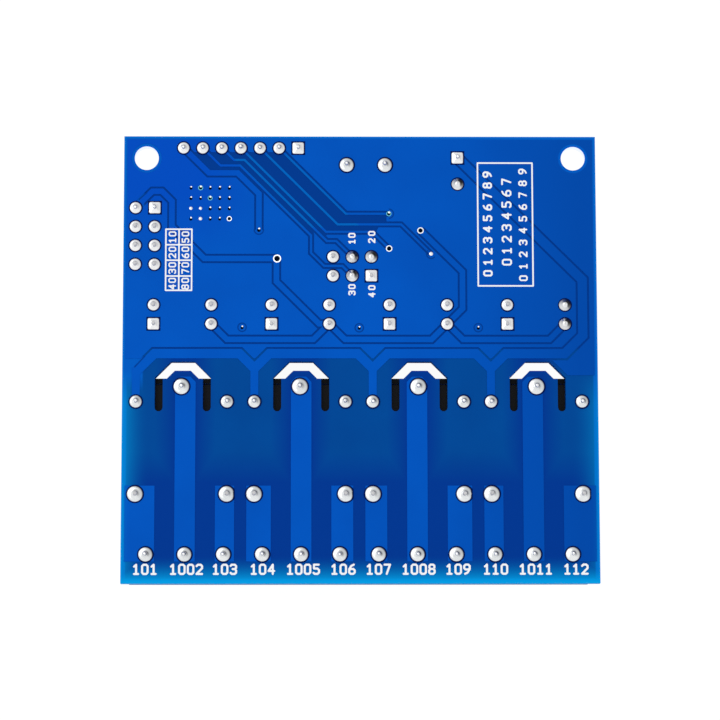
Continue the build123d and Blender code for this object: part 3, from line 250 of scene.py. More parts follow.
class Graph:
    """The nodes of one shader tree."""

    def __init__(self, tree: bpy.types.NodeTree) -> None:
        """Takes the tree of a material, a world or a group."""
        self.tree = tree

    def give(self, socket: bpy.types.NodeSocket, value: object) -> None:
        """Feeds one input.

        Args:
            socket: the input.
            value: a term, a socket, a node whose first output is meant, or a plain value.
        """
        if isinstance(value, Term):
            value = value.socket
        elif isinstance(value, bpy.types.Node):
            value = value.outputs[0]
        if isinstance(value, bpy.types.NodeSocket):
            self.tree.links.new(value, socket)
        else:
            socket.default_value = value

    def node(self, kind: str, *inputs: object, **values: object) -> bpy.types.Node:
        """Adds one node.

        Args:
            kind: kind of the node.
            inputs: what its inputs get, in order.
            values: its settings, and what its inputs get by their names, with underscores for spaces.

        Returns:
            The node.
        """
        made = self.tree.nodes.new(f"ShaderNode{kind}")
        for key, value in values.items():
            if key[0].isupper():
                self.give(made.inputs[key.replace("_", " ")], value)
            else:
                setattr(made, key, value)
        for socket, value in zip(made.inputs, inputs):
            self.give(socket, value)
        return made

    def reckon(self, operation: str, *values: object) -> Term:
        """Adds a Math node and gives its result."""
        return Term(self, self.node("Math", *values, operation=operation).outputs[0])

    def extreme(self, operation: str, *values: Term) -> Term:
        """Keeps the smallest or the largest of a few values.

        Args:
            operation: MINIMUM or MAXIMUM.
            values: the values.

        Returns:
            The one kept.
        """
        kept = values[0]
        for value in values[1:]:
            kept = self.reckon(operation, kept, value)
        return kept

    def blend(self, mask: object, first: object, second: object) -> Term:
        """Mixes two colours.

        Args:
            mask: a value from 0 to 1.
            first: colour where the mask is 0.
            second: colour where the mask is 1.

        Returns:
            The mixed colour.
        """
        made = self.node("Mix", data_type="RGBA", Factor=mask, A=first, B=second)
        return Term(self, made.outputs["Result"])


class EffectGroup(Graph):
    """A shader group under construction, for an effect that more than one finish can use."""

    def __init__(self, name: str, **inputs: float | Linear) -> None:
        """Makes the group with its inputs.

        Args:
            name: plain name of the effect.
            inputs: the default value of each input, with underscores for the spaces in its name.
        """
        super().__init__(bpy.data.node_groups.new(name, "ShaderNodeTree"))
        for label, value in inputs.items():
            kind = SocketKind.COLOUR if isinstance(value, tuple) else SocketKind.NUMBER
            socket = self.tree.interface.new_socket(label.replace("_", " "), in_out="INPUT",
                                                    socket_type=kind.value)
            socket.default_value = value
        self.source = self.tree.nodes.new("NodeGroupInput")

    def given(self, label: str) -> Term:
        """Finds the value of an input inside the group."""
        return Term(self, self.source.outputs[label])

    def place(self) -> tuple[Term, Term]:
        """Finds the place on the board, across it and up it, in metres."""
        split = self.node("SeparateXYZ", self.node("TexCoord").outputs["Object"])
        return Term(self, split.outputs["X"]), Term(self, split.outputs["Y"])

    def finish(self, **results: Term) -> bpy.types.ShaderNodeTree:
        """Gives the group its outputs.

        Args:
            results: the value of each output.

        Returns:
            The finished group.
        """
        for label, value in results.items():
            kind = SocketKind.COLOUR if value.socket.type == "RGBA" else SocketKind.NUMBER
            self.tree.interface.new_socket(label, in_out="OUTPUT", socket_type=kind.value)
        result = self.tree.nodes.new("NodeGroupOutput")
        for label, value in results.items():
            self.give(result.inputs[label], value)
        return self.tree


class Effects:
    """The shader groups of the board's finishes, each built once."""

    def __init__(self) -> None:
        """Builds every group."""
        self.mottle = self._mottle()
        self.weave = self._weave()
        self.edge_light = self._edge_light()
        self.margin = self._margin()
        self.strip_shade = self._strip_shade()
        self.fan_band = self._fan_band()
        self.shade_and_corner_tone = self._shade_and_corner_tone()
        self.brushing = self._brushing()

    @staticmethod
    def _mottle() -> bpy.types.ShaderNodeTree:
        """Soft uneven colour, with a height for fine bump.

        Returns:
            The group.
        """
        group = EffectGroup("mottle", Colour=linear(WHITE), Shade=linear(BLACK), Amount=0.2, Scale=300.0,
                            Grain_Scale=6000.0)
        middle, contrast, broad_detail, fine_detail = 0.35, 2.5, 3.0, 2.0
        place = group.node("TexCoord").outputs["Object"]
        broad = group.node("TexNoise", Vector=place, Scale=group.given("Scale"), Detail=broad_detail)
        fine = group.node("TexNoise", Vector=place, Scale=group.given("Grain Scale"), Detail=fine_detail)
        share = (Term(group, broad.outputs["Fac"]) - middle) * group.given("Amount") * contrast
        colour = group.blend(share.clamped(), group.given("Colour"), group.given("Shade"))
        return group.finish(Colour=colour, Height=Term(group, fine.outputs["Fac"]))

    @staticmethod
    def _weave() -> bpy.types.ShaderNodeTree:
        """Crossed threads of the glass cloth, as a mask and a height.

        Returns:
            The group.
        """
        group = EffectGroup("glass_weave", Pitch=0.00045)
        pitch, half = group.given("Pitch"), 0.5
        waves = [group.reckon("SINE", along / pitch * (2 * math.pi)) for along in group.place()]
        return group.finish(Mask=waves[0] * waves[1] * half + half)

    @staticmethod
    def _edge_light() -> bpy.types.ShaderNodeTree:
        """Light that seeps in through the laminate's cut edges, strongest along the terminal edge.

        Returns:
            The group.
        """
        group = EffectGroup("edge_light", Half_Width=0.03, Half_Depth=0.03, Reach=0.003)
        left_level, right_level, bottom_level, fall = 0.57, 0.37, 1.08, 2.2
        fade_start, fade_length = -0.0015, 0.0045
        width, depth, reach = (group.given(label) for label in ("Half Width", "Half Depth", "Reach"))
        x, y = group.place()
        low = ((fade_start - y) / fade_length).clamped()
        glows = []
        for gap, level in ((x + width, left_level), (width - x, right_level), (y + depth, bottom_level)):
            share = (gap / reach).clamped()
            glows.append(((1.0 - share) ** fall * level).clamped())
        return group.finish(Mask=group.extreme("MAXIMUM", glows[0] * low, glows[1] * low, glows[2]))

    @staticmethod
    def _margin() -> bpy.types.ShaderNodeTree:
        """Bare margins along the outline, round the holes and beside the coil rail's end, as soft masks,
        where the bare laminate is painted lighter for light that comes through it from behind; with a thin
        line along the outline for a painted highlight.

        Returns:
            The group.
        """
        group = EffectGroup("backlit_bare_margin", Half_Width=0.03, Half_Depth=0.03, Hole_X=0.028, Hole_Y=0.027)
        rim, line, ring, wall, softness = 0.0007, 0.00028, 0.0023, 0.0018, 5000.0
        patch_reach, patch_low, patch_fade = 0.0028, -0.0045, 500.0
        width, depth = group.given("Half Width"), group.given("Half Depth")
        x, y = group.place()
        across = abs(x)
        nearest = group.extreme("MINIMUM", width - across, depth - abs(y))
        squares = abs(across - group.given("Hole X")) ** 2.0 + abs(y - group.given("Hole Y")) ** 2.0
        from_hole = group.reckon("SQRT", squares)
        bare = (group.extreme("MAXIMUM", rim - nearest, ring - from_hole) * softness).clamped()
        patch_side = ((patch_reach - (x + width)) * softness).clamped()
        patch_rise = ((y - patch_low) * patch_fade).clamped()
        return group.finish(Mask=group.extreme("MAXIMUM", bare, patch_side * patch_rise),
                            Line=((line - nearest) * softness).clamped(),
                            Hole=group.reckon("LESS_THAN", from_hole, wall))

    @staticmethod
    def _strip_shade() -> bpy.types.ShaderNodeTree:
        """Deeper blue beside the common strips and low between the terminals, as a soft mask.

        Returns:
            The group.
        """
        group = EffectGroup("strip_shade", First=-0.023, Pitch=0.01524)
        strip_half, fade, low_start, low_length = 0.0014, 0.0026, -0.0125, 0.004
        x, y = group.place()
        half, pitch = 0.5, group.given("Pitch")
        along = (x - group.given("First")) / pitch
        gap = (half - abs(group.reckon("FRACT", along) - half)) * pitch
        beside = 1.0 - ((gap - strip_half) / fade).clamped()
        low = ((low_start - y) / low_length).clamped()
        return group.finish(Mask=group.extreme("MAXIMUM", beside, low))

    @staticmethod
    def _fan_band() -> bpy.types.ShaderNodeTree:
        """Slanting band where the fine tracks cross bare laminate, and all that lies above it, as masks.

        Returns:
            The group.
        """
        group = EffectGroup("fan_band")
        slant_low, slant_high, bottom, top, upper_from = 0.0098, 0.0177, 0.0173, 0.0274, 0.001
        softness = 3500.0
        x, y = group.place()
        slant = x + y
        inside = group.extreme("MINIMUM", slant - slant_low, slant_high - slant, y - bottom, top - y)
        return group.finish(Mask=(inside * softness).clamped(),
                            Upper=((y - upper_from) * softness).clamped())

    @staticmethod
    def _shade_and_corner_tone() -> bpy.types.ShaderNodeTree:
        """Where the mask looks deeper: towards the right side, painted shade where the light falls off, and
        in the upper left corner.

        Returns:
            The group.
        """
        group = EffectGroup("shade_and_corner_tone")
        right_from, right_length, rise = 0.003, 0.026, 1.3
        corner_x, corner_y, corner_length = -0.013, 0.014, 0.008
        x, y = group.place()
        # painted shade: the light falls off towards the right side
        right = ((x - right_from) / right_length).clamped() ** rise
        left = ((corner_x - x) / corner_length).clamped()
        above = ((y - corner_y) / corner_length).clamped()
        return group.finish(Right=right, Corner=left * above)

    @staticmethod
    def _brushing() -> bpy.types.ShaderNodeTree:
        """Fine uneven polish of a metal, as a roughness and a height.

        Returns:
            The group.
        """
        group = EffectGroup("brushing", Roughness=0.3, Spread=0.2, Scale=2500.0, Stretch=1.0)
        detail, middle = 4.0, 0.5
        stretch = group.node("CombineXYZ", 1.0, 1.0, group.given("Stretch"))
        place = group.node("VectorMath", group.node("TexCoord").outputs["Object"], stretch,
                           operation="MULTIPLY")
        noise = group.node("TexNoise", Vector=place, Scale=group.given("Scale"), Detail=detail)
        height = Term(group, noise.outputs["Fac"])
        polish = (height - middle) * group.given("Spread") + group.given("Roughness")
        return group.finish(Roughness=polish.clamped(), Height=height)


class MaterialSheet(Graph):
    """One material under construction, with its Principled shader."""

    def __init__(self, name: str) -> None:
        """Makes a material with a Principled shader and an output.

        Args:
            name: plain name of the finish.
        """
        self.material = bpy.data.materials.new(name)
        self.material.use_nodes = True
        super().__init__(self.material.node_tree)
        self.shader = next(node for node in self.tree.nodes if node.type == "BSDF_PRINCIPLED")

    def effect(self, tree: bpy.types.ShaderNodeTree, **values: object) -> dict[str, Term]:
        """Places a shader group.

        Args:
            tree: the group.
            values: what its inputs get, with underscores for the spaces in their names.

        Returns:
            Its outputs by name.
        """
        made = self.node("Group", node_tree=tree, **values)
        return {socket.name: Term(self, socket) for socket in made.outputs}

    def facing(self, direction: Place, smooth: bool = False) -> Term:
        """Finds how far a face looks in a direction.

        Args:
            direction: the direction, of length one.
            smooth: whether the shading's normal counts, instead of the face's own.

        Returns:
            A value from -1 to 1.
        """
        normal = self.node("NewGeometry").outputs["Normal" if smooth else "True Normal"]
        along = self.node("VectorMath", normal, direction, operation="DOT_PRODUCT")
        return Term(self, along.outputs["Value"])

    def shade(self, **values: object) -> None:
        """Feeds the shader's sockets, with underscores for the spaces in their names."""
        for key, value in values.items():
            self.give(self.shader.inputs[key.replace("_", " ")], value)

    def bump(self, height: Term, strength: float, depth: float) -> None:
        """Feeds a height to the shader's normal.

        Args:
            height: the height.
            strength: how much of it shows.
            depth: depth in metres.
        """
        self.shade(Normal=self.node("Bump", Strength=strength, Distance=depth, Height=height))


@dataclass(frozen=True)
class Moulding:
    """Moulded plastic or ink with a fine grain and slightly uneven colour."""

    name: str
    colour: Colour
    shade: Colour
    roughness: float = 0.45
    specular: float = 0.4
    grain: float = 0.25
    grain_depth: float = 0.00002
    grain_scale: float = 9000.0
    uneven: float = 0.3
    scale: float = 260.0
    # near-black painted on the faces that look up, for the shade in the narrow gap under the board
    gap_shade: Colour | None = None

    def build(self, effects: Effects) -> bpy.types.Material:
        """Makes the material, painted near-black on the faces that look up where it is given that colour, for
        the shade in the narrow gap under the board.

        Args:
            effects: the shared shader groups.

        Returns:
            The material.
        """
        sheet = MaterialSheet(self.name)
        mottle = sheet.effect(effects.mottle, Colour=linear(self.colour), Shade=linear(self.shade),
                              Amount=self.uneven, Scale=self.scale, Grain_Scale=self.grain_scale)
        colour = mottle["Colour"]
        if self.gap_shade:
            colour = sheet.blend(sheet.facing(UP), colour, linear(self.gap_shade))
        sheet.shade(Base_Color=colour, Roughness=self.roughness, Specular_IOR_Level=self.specular)
        sheet.bump(mottle["Height"], self.grain, self.grain_depth)
        return sheet.material


@dataclass(frozen=True)
class Metal:
    """Plated, drawn or soldered metal with an uneven polish."""

    name: str
    colour: Colour
    shade: Colour
    roughness: float = 0.3
    spread: float = 0.25
    scale: float = 2500.0
    stretch: float = 1.0
    # painted reflection of darker surroundings, on the faces that look to the upper right
    flank_shade: Colour | None = None
    flank_gain: float = 1.7
    uneven: float = 0.5
    uneven_scale: float = 700.0
    bump: float = 0.15
    bump_depth: float = 0.00003

    def build(self, effects: Effects) -> bpy.types.Material:
        """Makes the material, with painted shade on the faces that look to the upper right if it is given a
        flank colour: a painted reflection of darker surroundings.

        Args:
            effects: the shared shader groups.

        Returns:
            The material.
        """
        sheet = MaterialSheet(self.name)
        mottle = sheet.effect(effects.mottle, Colour=linear(self.colour), Shade=linear(self.shade),
                              Amount=self.uneven, Scale=self.uneven_scale)
        polish = sheet.effect(effects.brushing, Roughness=self.roughness, Spread=self.spread,
                              Scale=self.scale, Stretch=self.stretch)
        colour = mottle["Colour"]
        if self.flank_shade:
            flank = (sheet.facing(UPPER_RIGHT, smooth=True) * self.flank_gain).clamped()
            colour = sheet.blend(flank, colour, linear(self.flank_shade))
        sheet.shade(Base_Color=colour, Roughness=polish["Roughness"], Metallic=1.0)
        sheet.bump(polish["Height"], self.bump, self.bump_depth)
        return sheet.material


@dataclass(frozen=True)
class Laminate:
    """Blue mask over bare glass cloth, which lets light in at its cut edges."""

    name: str = "masked_laminate"
    deep: Colour = (0, 76, 156)
    shade: Colour = (0, 62, 140)
    navy: Colour = (0, 56, 148)
    fan: Colour = (0, 59, 145)
    # bare laminate painted lighter along the outline and round the holes, for light that comes through it
    # from behind
    margin: Colour = (0, 92, 196)
    # painted highlight: a thin light line along the outline
    line: Colour = (6, 120, 212)
    # painted glow along the edges, for light that seeps in through the laminate
    rim: Colour = (0, 160, 232)
    # the side faces along the outline are painted bright, for light that comes through the laminate's cut
    # edge
    cut: Colour = (36, 158, 230)
    slot_wall: Colour = (0, 84, 168)
    thread_share: float = 0.15
    line_share: float = 0.8
    reach: float = 3.8
    hole_glow: float = 0.85

    def build(self, effects: Effects) -> bpy.types.Material:
        """Makes the material.

        Args:
            effects: the shared shader groups.

        Returns:
            The material.
        """
        sheet = MaterialSheet(self.name)
        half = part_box("circuit_board")[1]
        first = box_middle("screw_1_common").x
        pitch = box_middle("screw_2_common").x - first
        mottle = sheet.effect(effects.mottle, Colour=linear(self.deep), Shade=linear(self.shade), Amount=0.4,
                              Scale=120.0)
        weave = sheet.effect(effects.weave)["Mask"]
        strips = sheet.effect(effects.strip_shade, First=first, Pitch=pitch)
        margin = sheet.effect(effects.margin, Half_Width=half.x, Half_Depth=half.y,
                              Hole_X=half.x - HOLE_FROM_SIDE * MM, Hole_Y=half.y - HOLE_FROM_TOP * MM)
        edge = sheet.effect(effects.edge_light, Half_Width=half.x, Half_Depth=half.y, Reach=self.reach * MM)
        colour = mottle["Colour"]
        layers = ((strips["Mask"], self.navy), (weave * self.thread_share, self.shade),
                  (sheet.effect(effects.fan_band)["Upper"], self.fan), (margin["Mask"], self.margin),
                  (margin["Line"] * self.line_share, self.line), (edge["Mask"], self.rim))
        for mask, tone in layers:
            colour = sheet.blend(mask, colour, linear(tone))
        upright = abs(sheet.facing(UP))
        # side faces: a painted bright glow along the outline, and the slot walls' own blue elsewhere
        wall = sheet.blend(margin["Line"], linear(self.slot_wall), linear(self.cut))
        glow = sheet.blend(margin["Hole"], linear(BLACK), linear(WHITE))
        sheet.shade(Base_Color=sheet.blend(upright, wall, colour),
                    Emission_Color=sheet.blend(upright, glow, linear(BLACK)),
                    Emission_Strength=self.hole_glow, Roughness=0.42, Specular_IOR_Level=0.02)
        sheet.bump(weave, strength=0.2, depth=0.00001)
        return sheet.material


@dataclass(frozen=True)
class MaskedCopper:
    """Copper that shows lighter through the blue mask."""

    name: str = "masked_copper"
    colour: Colour = (0, 88, 196)
    shade: Colour = (0, 80, 184)
    fine: Colour = (0, 99, 190)
    # painted shade towards the right side, where the light falls off
    right: Colour = (0, 74, 171)
    corner: Colour = (0, 77, 194)
    # painted glow along the edges, for light that seeps in through the laminate
    rim: Colour = (0, 160, 232)
    rim_share: float = 0.4
    reach: float = 1.3

    def build(self, effects: Effects) -> bpy.types.Material:
        """Makes the material.

        Args:
            effects: the shared shader groups.

        Returns:
            The material.
        """
        sheet = MaterialSheet(self.name)
        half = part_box("circuit_board")[1]
        mottle = sheet.effect(effects.mottle, Colour=linear(self.colour), Shade=linear(self.shade),
                              Amount=0.8, Scale=90.0, Grain_Scale=4000.0)
        tone = sheet.effect(effects.shade_and_corner_tone)
        edge = sheet.effect(effects.edge_light, Half_Width=half.x, Half_Depth=half.y, Reach=self.reach * MM)
        colour = mottle["Colour"]
        layers = ((tone["Right"], self.right), (tone["Corner"], self.corner),
                  (sheet.effect(effects.fan_band)["Mask"], self.fine),
                  (edge["Mask"] * self.rim_share, self.rim))
        for mask, layer in layers:
            colour = sheet.blend(mask, colour, linear(layer))
        sheet.shade(Base_Color=colour, Roughness=0.4, Specular_IOR_Level=0.02)
        sheet.bump(mottle["Height"], strength=0.12, depth=0.00001)
        return sheet.material


@dataclass(frozen=True)
class WireWinding:
    """Enamelled wire, turn beside turn."""

    name: str = "coil_wire"
    colour: Colour = (178, 92, 44)
    shade: Colour = (96, 42, 20)
    pitch: float = 0.00012
    bands_to_metre: float = 20.0

    def build(self) -> bpy.types.Material:
        """Makes the material.

        Returns:
            The material.
        """
        sheet = MaterialSheet(self.name)
        place = sheet.node("TexCoord").outputs["Object"]
        waves = sheet.node("TexWave", bands_direction="Z", Vector=place,
                           Scale=1.0 / self.pitch / self.bands_to_metre)
        turns = Term(sheet, waves.outputs["Fac"])
        colour = sheet.blend(turns, linear(self.shade), linear(self.colour))
        sheet.shade(Base_Color=colour, Roughness=0.35, Metallic=0.7)
        sheet.bump(turns, strength=0.6, depth=0.00005)
        return sheet.material


class Finishes:
    """Every material of the board, by the record's slots and by name."""

    def __init__(self, effects: Effects) -> None:
        """Builds them all.

        Args:
            effects: the shared shader groups.
        """
        slots = {
            # the relay case's faces that look up are painted near-black, for the shade in the gap under the
            # board
            "relay_plastic": Moulding("relay_blue", (10, 88, 178), (6, 72, 154), roughness=0.4, specular=0.08,
                                      gap_shade=(3, 7, 12)),
            "black_plastic": Moulding("moulded_black", (15, 16, 19), (9, 10, 12), specular=0.15),
            "terminal_plastic": Moulding("terminal_blue", (16, 92, 170), (10, 74, 148), roughness=0.5),
            "jumper_plastic": Moulding("jumper_black", (26, 26, 29), (16, 16, 18), roughness=0.38),
            "chip_plastic": Moulding("chip_black", (30, 30, 32), (20, 20, 22), roughness=0.6, grain=0.5),
            "capacitor_sleeve": Moulding("sleeve_black", (24, 25, 34), (14, 15, 22), roughness=0.25,
                                         specular=0.5),
            "ceramic": Moulding("chip_ceramic", (52, 46, 42), (30, 27, 25), roughness=0.5),
            "light_lens": Moulding("light_lens", (214, 60, 44), (168, 34, 26), roughness=0.2, specular=0.6),
            # the solders carry a painted reflection of darker surroundings on their upper right flanks
            "solder": Metal("solder", (244, 245, 246), (226, 228, 231), roughness=0.2, scale=1800.0,
                            flank_shade=(190, 190, 192)),
            "iron": Metal("relay_iron", (186, 188, 190), (150, 152, 156), roughness=0.35),
            "contact_brass": Metal("contact_brass", (214, 178, 104), (180, 142, 76), roughness=0.28),
            "tinned_wire": Metal("tinned_wire", (214, 216, 220), (182, 186, 190)),
            "plated_steel": Metal("plated_steel", (196, 200, 206), (160, 165, 172), roughness=0.32,
                                  stretch=6.0),
            "laminate": Laminate(),
            "masked_copper": MaskedCopper(),
        }
        self.by_slot = {slot: finish.build(effects) for slot, finish in slots.items()}
        self.by_slot["coil_wire"] = WireWinding().build()
        own = (
            Moulding("white_print", (250, 251, 253), (222, 228, 238), roughness=0.7, specular=0.1, grain=0.2,
                     grain_depth=0.00001, grain_scale=12000.0, scale=2600.0),
            # dark ring round each pad: the mask's edge, with the joint's painted shadow
            Moulding("mask_edge_and_shadow", (0, 20, 84), (0, 14, 66), roughness=0.5, specular=0.02),
            Moulding("gap_tone", (0, 62, 150), (0, 56, 144), roughness=0.5, specular=0.02),
            # full domed joints: bright solder with strong painted shade on the faces that look to the upper
            # right
            Metal("domed_solder", (246, 247, 249), (206, 208, 213), roughness=0.2, spread=0.3, scale=1500.0,
                  flank_shade=(78, 74, 72)),
            # darker copy of the solder for the wide and power joints: their greyer look is a painted
            # reflection of the surroundings
            Metal("grey_solder", (236, 239, 240), (204, 208, 210), roughness=0.2, spread=0.3, scale=1500.0,
                  flank_shade=(104, 106, 112)),
            Moulding("pin_tip", (206, 206, 207), (168, 168, 170), roughness=0.3, specular=0.9, uneven=0.5),
            Moulding("via_rim", (96, 196, 214), (60, 150, 190), roughness=0.4),
            # dark discs of painted shade in the via holes
            Moulding("hole_dark", (6, 14, 30), (3, 8, 20), roughness=0.9, specular=0.0),
        )
        self.by_name = {finish.name: finish.build(effects) for finish in own}

    def dress(self, nodes: dict[str, bpy.types.Object], record: dict) -> None:
        """Gives every solid the finish of its slot.

        Args:
            nodes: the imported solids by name.
            record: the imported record.
        """
        for part in record["subparts"]:
            mesh = nodes[part["node"]].data
            mesh.materials.clear()
            mesh.materials.append(self.by_slot[part["material_slot"]])


@dataclass(frozen=True)
class Island:
    """One solid of a node, as the middle and half size of its box, in millimetres."""

    x: float
    y: float
    low: float
    high: float
    half_x: float
    half_y: float
    corners: int


def islands(node: bpy.types.Object) -> list[Island]:
    """Finds the separate solids of a node, from left to right and then upwards.

    Args:
        node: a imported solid.

    Returns:
        The box of each.
    """
    work = bmesh.new()
    work.from_mesh(node.data)
    bmesh.ops.remove_doubles(work, verts=work.verts, dist=1e-6)
    left = set(work.verts)
    found = []
    while left:
        reached = [left.pop()]
        members = []
        while reached:
            vertex = reached.pop()
            members.append(vertex.co / MM)
            others = {edge.other_vert(vertex) for edge in vertex.link_edges} & left
            left -= others
            reached += others
        low = Vector([min(member[axis] for member in members) for axis in range(3)])
        high = Vector([max(member[axis] for member in members) for axis in range(3)])
        middle, half = (low + high) / 2, (high - low) / 2
        found.append(Island(middle.x, middle.y, low.z, high.z, half.x, half.y, len(members)))
    work.free()
    return sorted(found, key=lambda item: (round(item.x, 2), round(item.y, 2)))


@dataclass(frozen=True)
class JointForm:
    """Section of a joint: radius as a share of the pad's, and height as a share of the joint's."""

    fillet: tuple[Point, ...]
    pin: tuple[Point, ...] = ()


WIDE_FORM = JointForm(
    fillet=((1.0, 0.0), (0.975, 0.04), (0.92, 0.07), (0.83, 0.095), (0.72, 0.112), (0.62, 0.126),
            (0.52, 0.144), (0.44, 0.168), (0.375, 0.198), (0.32, 0.23), (0.2, 0.25)),
    pin=((0.27, 0.2), (0.265, 0.6), (0.255, 0.88), (0.22, 0.93), (0.14, 0.97), (0.05, 0.98)))
NARROW_FORM = JointForm(
    fillet=((1.0, 0.0), (0.975, 0.045), (0.91, 0.075), (0.82, 0.1), (0.72, 0.12), (0.62, 0.143),
            (0.54, 0.168), (0.47, 0.2), (0.4, 0.235), (0.2, 0.25)),
    pin=((0.34, 0.2), (0.33, 0.6), (0.31, 0.86), (0.25, 0.92), (0.16, 0.96), (0.06, 0.97)))
DOMED_FORM = JointForm(
    fillet=((1.0, 0.0), (0.95, 0.05), (0.85, 0.135), (0.7, 0.265), (0.55, 0.4), (0.44, 0.5), (0.38, 0.535),
            (0.29, 0.555), (0.16, 0.565), (0.04, 0.568)))


@dataclass
class SolderJoints:
    """Solder on every pin: a low dome that wets the pad, and the rounded tip of the pin in it.

    A few joints of the header, one coupler and the capacitor are full domes, with painted shade on their
    upper right.
    """

    sides: int = 32
    square_power: float = 10.0
    square_corners: int = 8
    square_height: float = 1.0
    corner_fade: float = 2.2
    least_height: float = 0.88
    lean: float = 0.06
    swell: float = 0.05
    tilt: float = 0.06
    pin_tilt: float = 0.2
    waver: float = 0.018
    waver_rise: float = 4.0
    ring_sides: int = 48
    ring_width: float = 0.15
    # the dark ring sits a hair down and to the right: the mask's edge with the joint's painted shadow
    ring_drop: float = 0.01
    ring_left: float = -0.01
    ring_lift: float = 0.006
    cut_ring: float = 0.16
    cut_share: float = 0.84
    sink: float = 0.04
    wide_pad: float = 1.0
    wide_share: float = 0.915
    narrow_share: float = 0.87
    domed_places: tuple[Point, ...] = ((13.07, 23.38), (27.17, 7.03), (27.14, 4.44), (-0.92, 13.52),
                                      (1.6, 13.46), (-0.93, 10.97))
    domed_reach: float = 0.9
    contact_rows: tuple[float, float] = (-20.0, -16.0)
    power_below: float = 0.0
    header_above: float = 20.0
    seed: int = 11

    def build(self, joints: list[Island], finishes: Finishes) -> None:
        """Makes the solder and the dark edge of the mask round each pad, which also stands for the joint's
        painted shadow.

        Args:
            joints: where the solder stands.
            finishes: the board's materials.
        """
        draw = random.Random(self.seed)
        bright, grey, domed = (MeshPiece(name) for name in ("solder_fillets", "grey_fillets", "domed_fillets"))
        pieces = {NARROW_FORM: bright, WIDE_FORM: grey, DOMED_FORM: domed}
        tips = MeshPiece("pin_tips")
        edges = MeshPiece("mask_edges_and_shadows")
        contacts = [joint for joint in joints if joint.half_y > self.wide_pad and self._is_contact(joint)]
        open_contacts = contacts[1::2]
        for joint in joints:
            pad = max(joint.half_x, joint.half_y)
            if joint.corners != self.square_corners:
                pad *= self.wide_share if pad > self.wide_pad else self.narrow_share
            cut = joint in open_contacts
            form = self._form(joint, pad)
            # the power joints get the darker copy of the solder, a painted reflection
            solder = grey if joint.y < self.power_below else pieces[form]
            tip = bright if self._tip_is_covered(joint) else tips
            self._joint(solder, tip, joint, form, pad, cut, draw)
            self._edge_and_shadow(edges, joint, pad, cut)
        bright.make(finishes.by_slot["solder"], BOARD_BODY, "solder", stands_for=("solder_joints",))
        grey.make(finishes.by_name["grey_solder"], BOARD_BODY, "solder")
        domed.make(finishes.by_name["domed_solder"], BOARD_BODY, "solder")
        tips.make(finishes.by_name["pin_tip"], BOARD_BODY, "solder")
        edges.make(finishes.by_name["mask_edge_and_shadow"], BOARD_BODY, "laminate")

    def _is_contact(self, joint: Island) -> bool:
        """Says whether a joint lies in the row of the relays' fixed contacts."""
        return self.contact_rows[0] < joint.y < self.contact_rows[1]

    def _tip_is_covered(self, joint: Island) -> bool:
        """Says whether solder covers a joint's pin: at the header, the capacitor, the coils and terminals."""
        return joint.y > self.header_above or (joint.y < self.power_below and not self._is_contact(joint))

    def _form(self, joint: Island, pad: float) -> JointForm:
        """Picks the form of a joint by its place and its pad.

        Args:
            joint: where it stands.
            pad: radius of its pad.

        Returns:
            Its section.
        """
        for x, y in self.domed_places:
            if math.hypot(joint.x - x, joint.y - y) < self.domed_reach:
                return DOMED_FORM
        return WIDE_FORM if pad > self.wide_pad * self.wide_share else NARROW_FORM

    def _joint(self, solder: MeshPiece, tips: MeshPiece, joint: Island, form: JointForm, pad: float,
               cut: bool, draw: random.Random) -> None:
        """Adds one joint.

        Args:
            solder: the piece that gathers its solder.
            tips: the piece that gathers its pin tip.
            joint: where it stands.
            form: its section.
            pad: radius of its pad.
            cut: whether it ends straight on its right.
            draw: source of its small unevenness.
        """
        square = joint.corners == self.square_corners
        height = self.square_height if square else joint.high - joint.low
        if form is DOMED_FORM:
            height = pad
        height *= draw.uniform(self.least_height, 1.0)
        lean = Vector((draw.uniform(-self.lean, self.lean), draw.uniform(-self.lean, self.lean), 0))
        starts = [draw.uniform(0, 2 * math.pi) for _ in range(3)]
        swell = draw.uniform(-self.swell, self.swell)
        limit = pad * self.cut_share if cut else math.inf
        for piece, profile, wet in ((solder, form.fillet, True), (tips, form.pin, False)):
            loops = []
            for share, rise in profile:
                corner = max(0.0, 1 - self.corner_fade * rise) if square and wet else 0.0
                power = 2 + (self.square_power - 2) * corner
                loop = []
                for step in range(self.sides):
                    turn = 2 * math.pi * (step + 0.5) / self.sides
                    reach = (abs(math.cos(turn)) ** power + abs(math.sin(turn)) ** power) ** (-1 / power)
                    waves = sum(math.sin((count + 2) * turn + start) for count, start in enumerate(starts))
                    waver = 1 + self.waver * waves * min(1.0, self.waver_rise * rise)
                    radius = pad * share * reach * waver
                    tilt = (swell + self.tilt * math.sin(turn + starts[0])) * (1 if wet else self.pin_tilt)
                    loop.append(Vector((joint.x + min(radius * math.cos(turn), limit),
                                        joint.y + radius * math.sin(turn),
                                        joint.low + height * rise * (1 + tilt))) + lean * rise)
                loops.append(loop)
            if loops:
                piece.rings(loops)

    def _edge_and_shadow(self, edges: MeshPiece, joint: Island, pad: float, cut: bool) -> None:
        """Adds the dark edge of the mask round one pad, with the joint's painted shadow, shifted a hair down
        and to the right.

        Args:
            edges: the piece that gathers them.
            joint: where the pad is.
            pad: its radius, or half its width.
            cut: whether it ends straight on its right.
        """
        outer = pad + self.ring_width
        x, y = joint.x - self.ring_left, joint.y - self.ring_drop
        if joint.corners == self.square_corners:
            outline = [(x + side * outer, y + rise * outer) for side, rise in CORNERS]
        else:
            limit = pad * self.cut_share + self.cut_ring if cut else outer
            outline = [(x + min(side, limit), y + rise)
                       for side, rise in circle((0.0, 0.0), outer, self.ring_sides)]
        edges.prism(outline, joint.low - self.sink, joint.low + self.ring_lift)


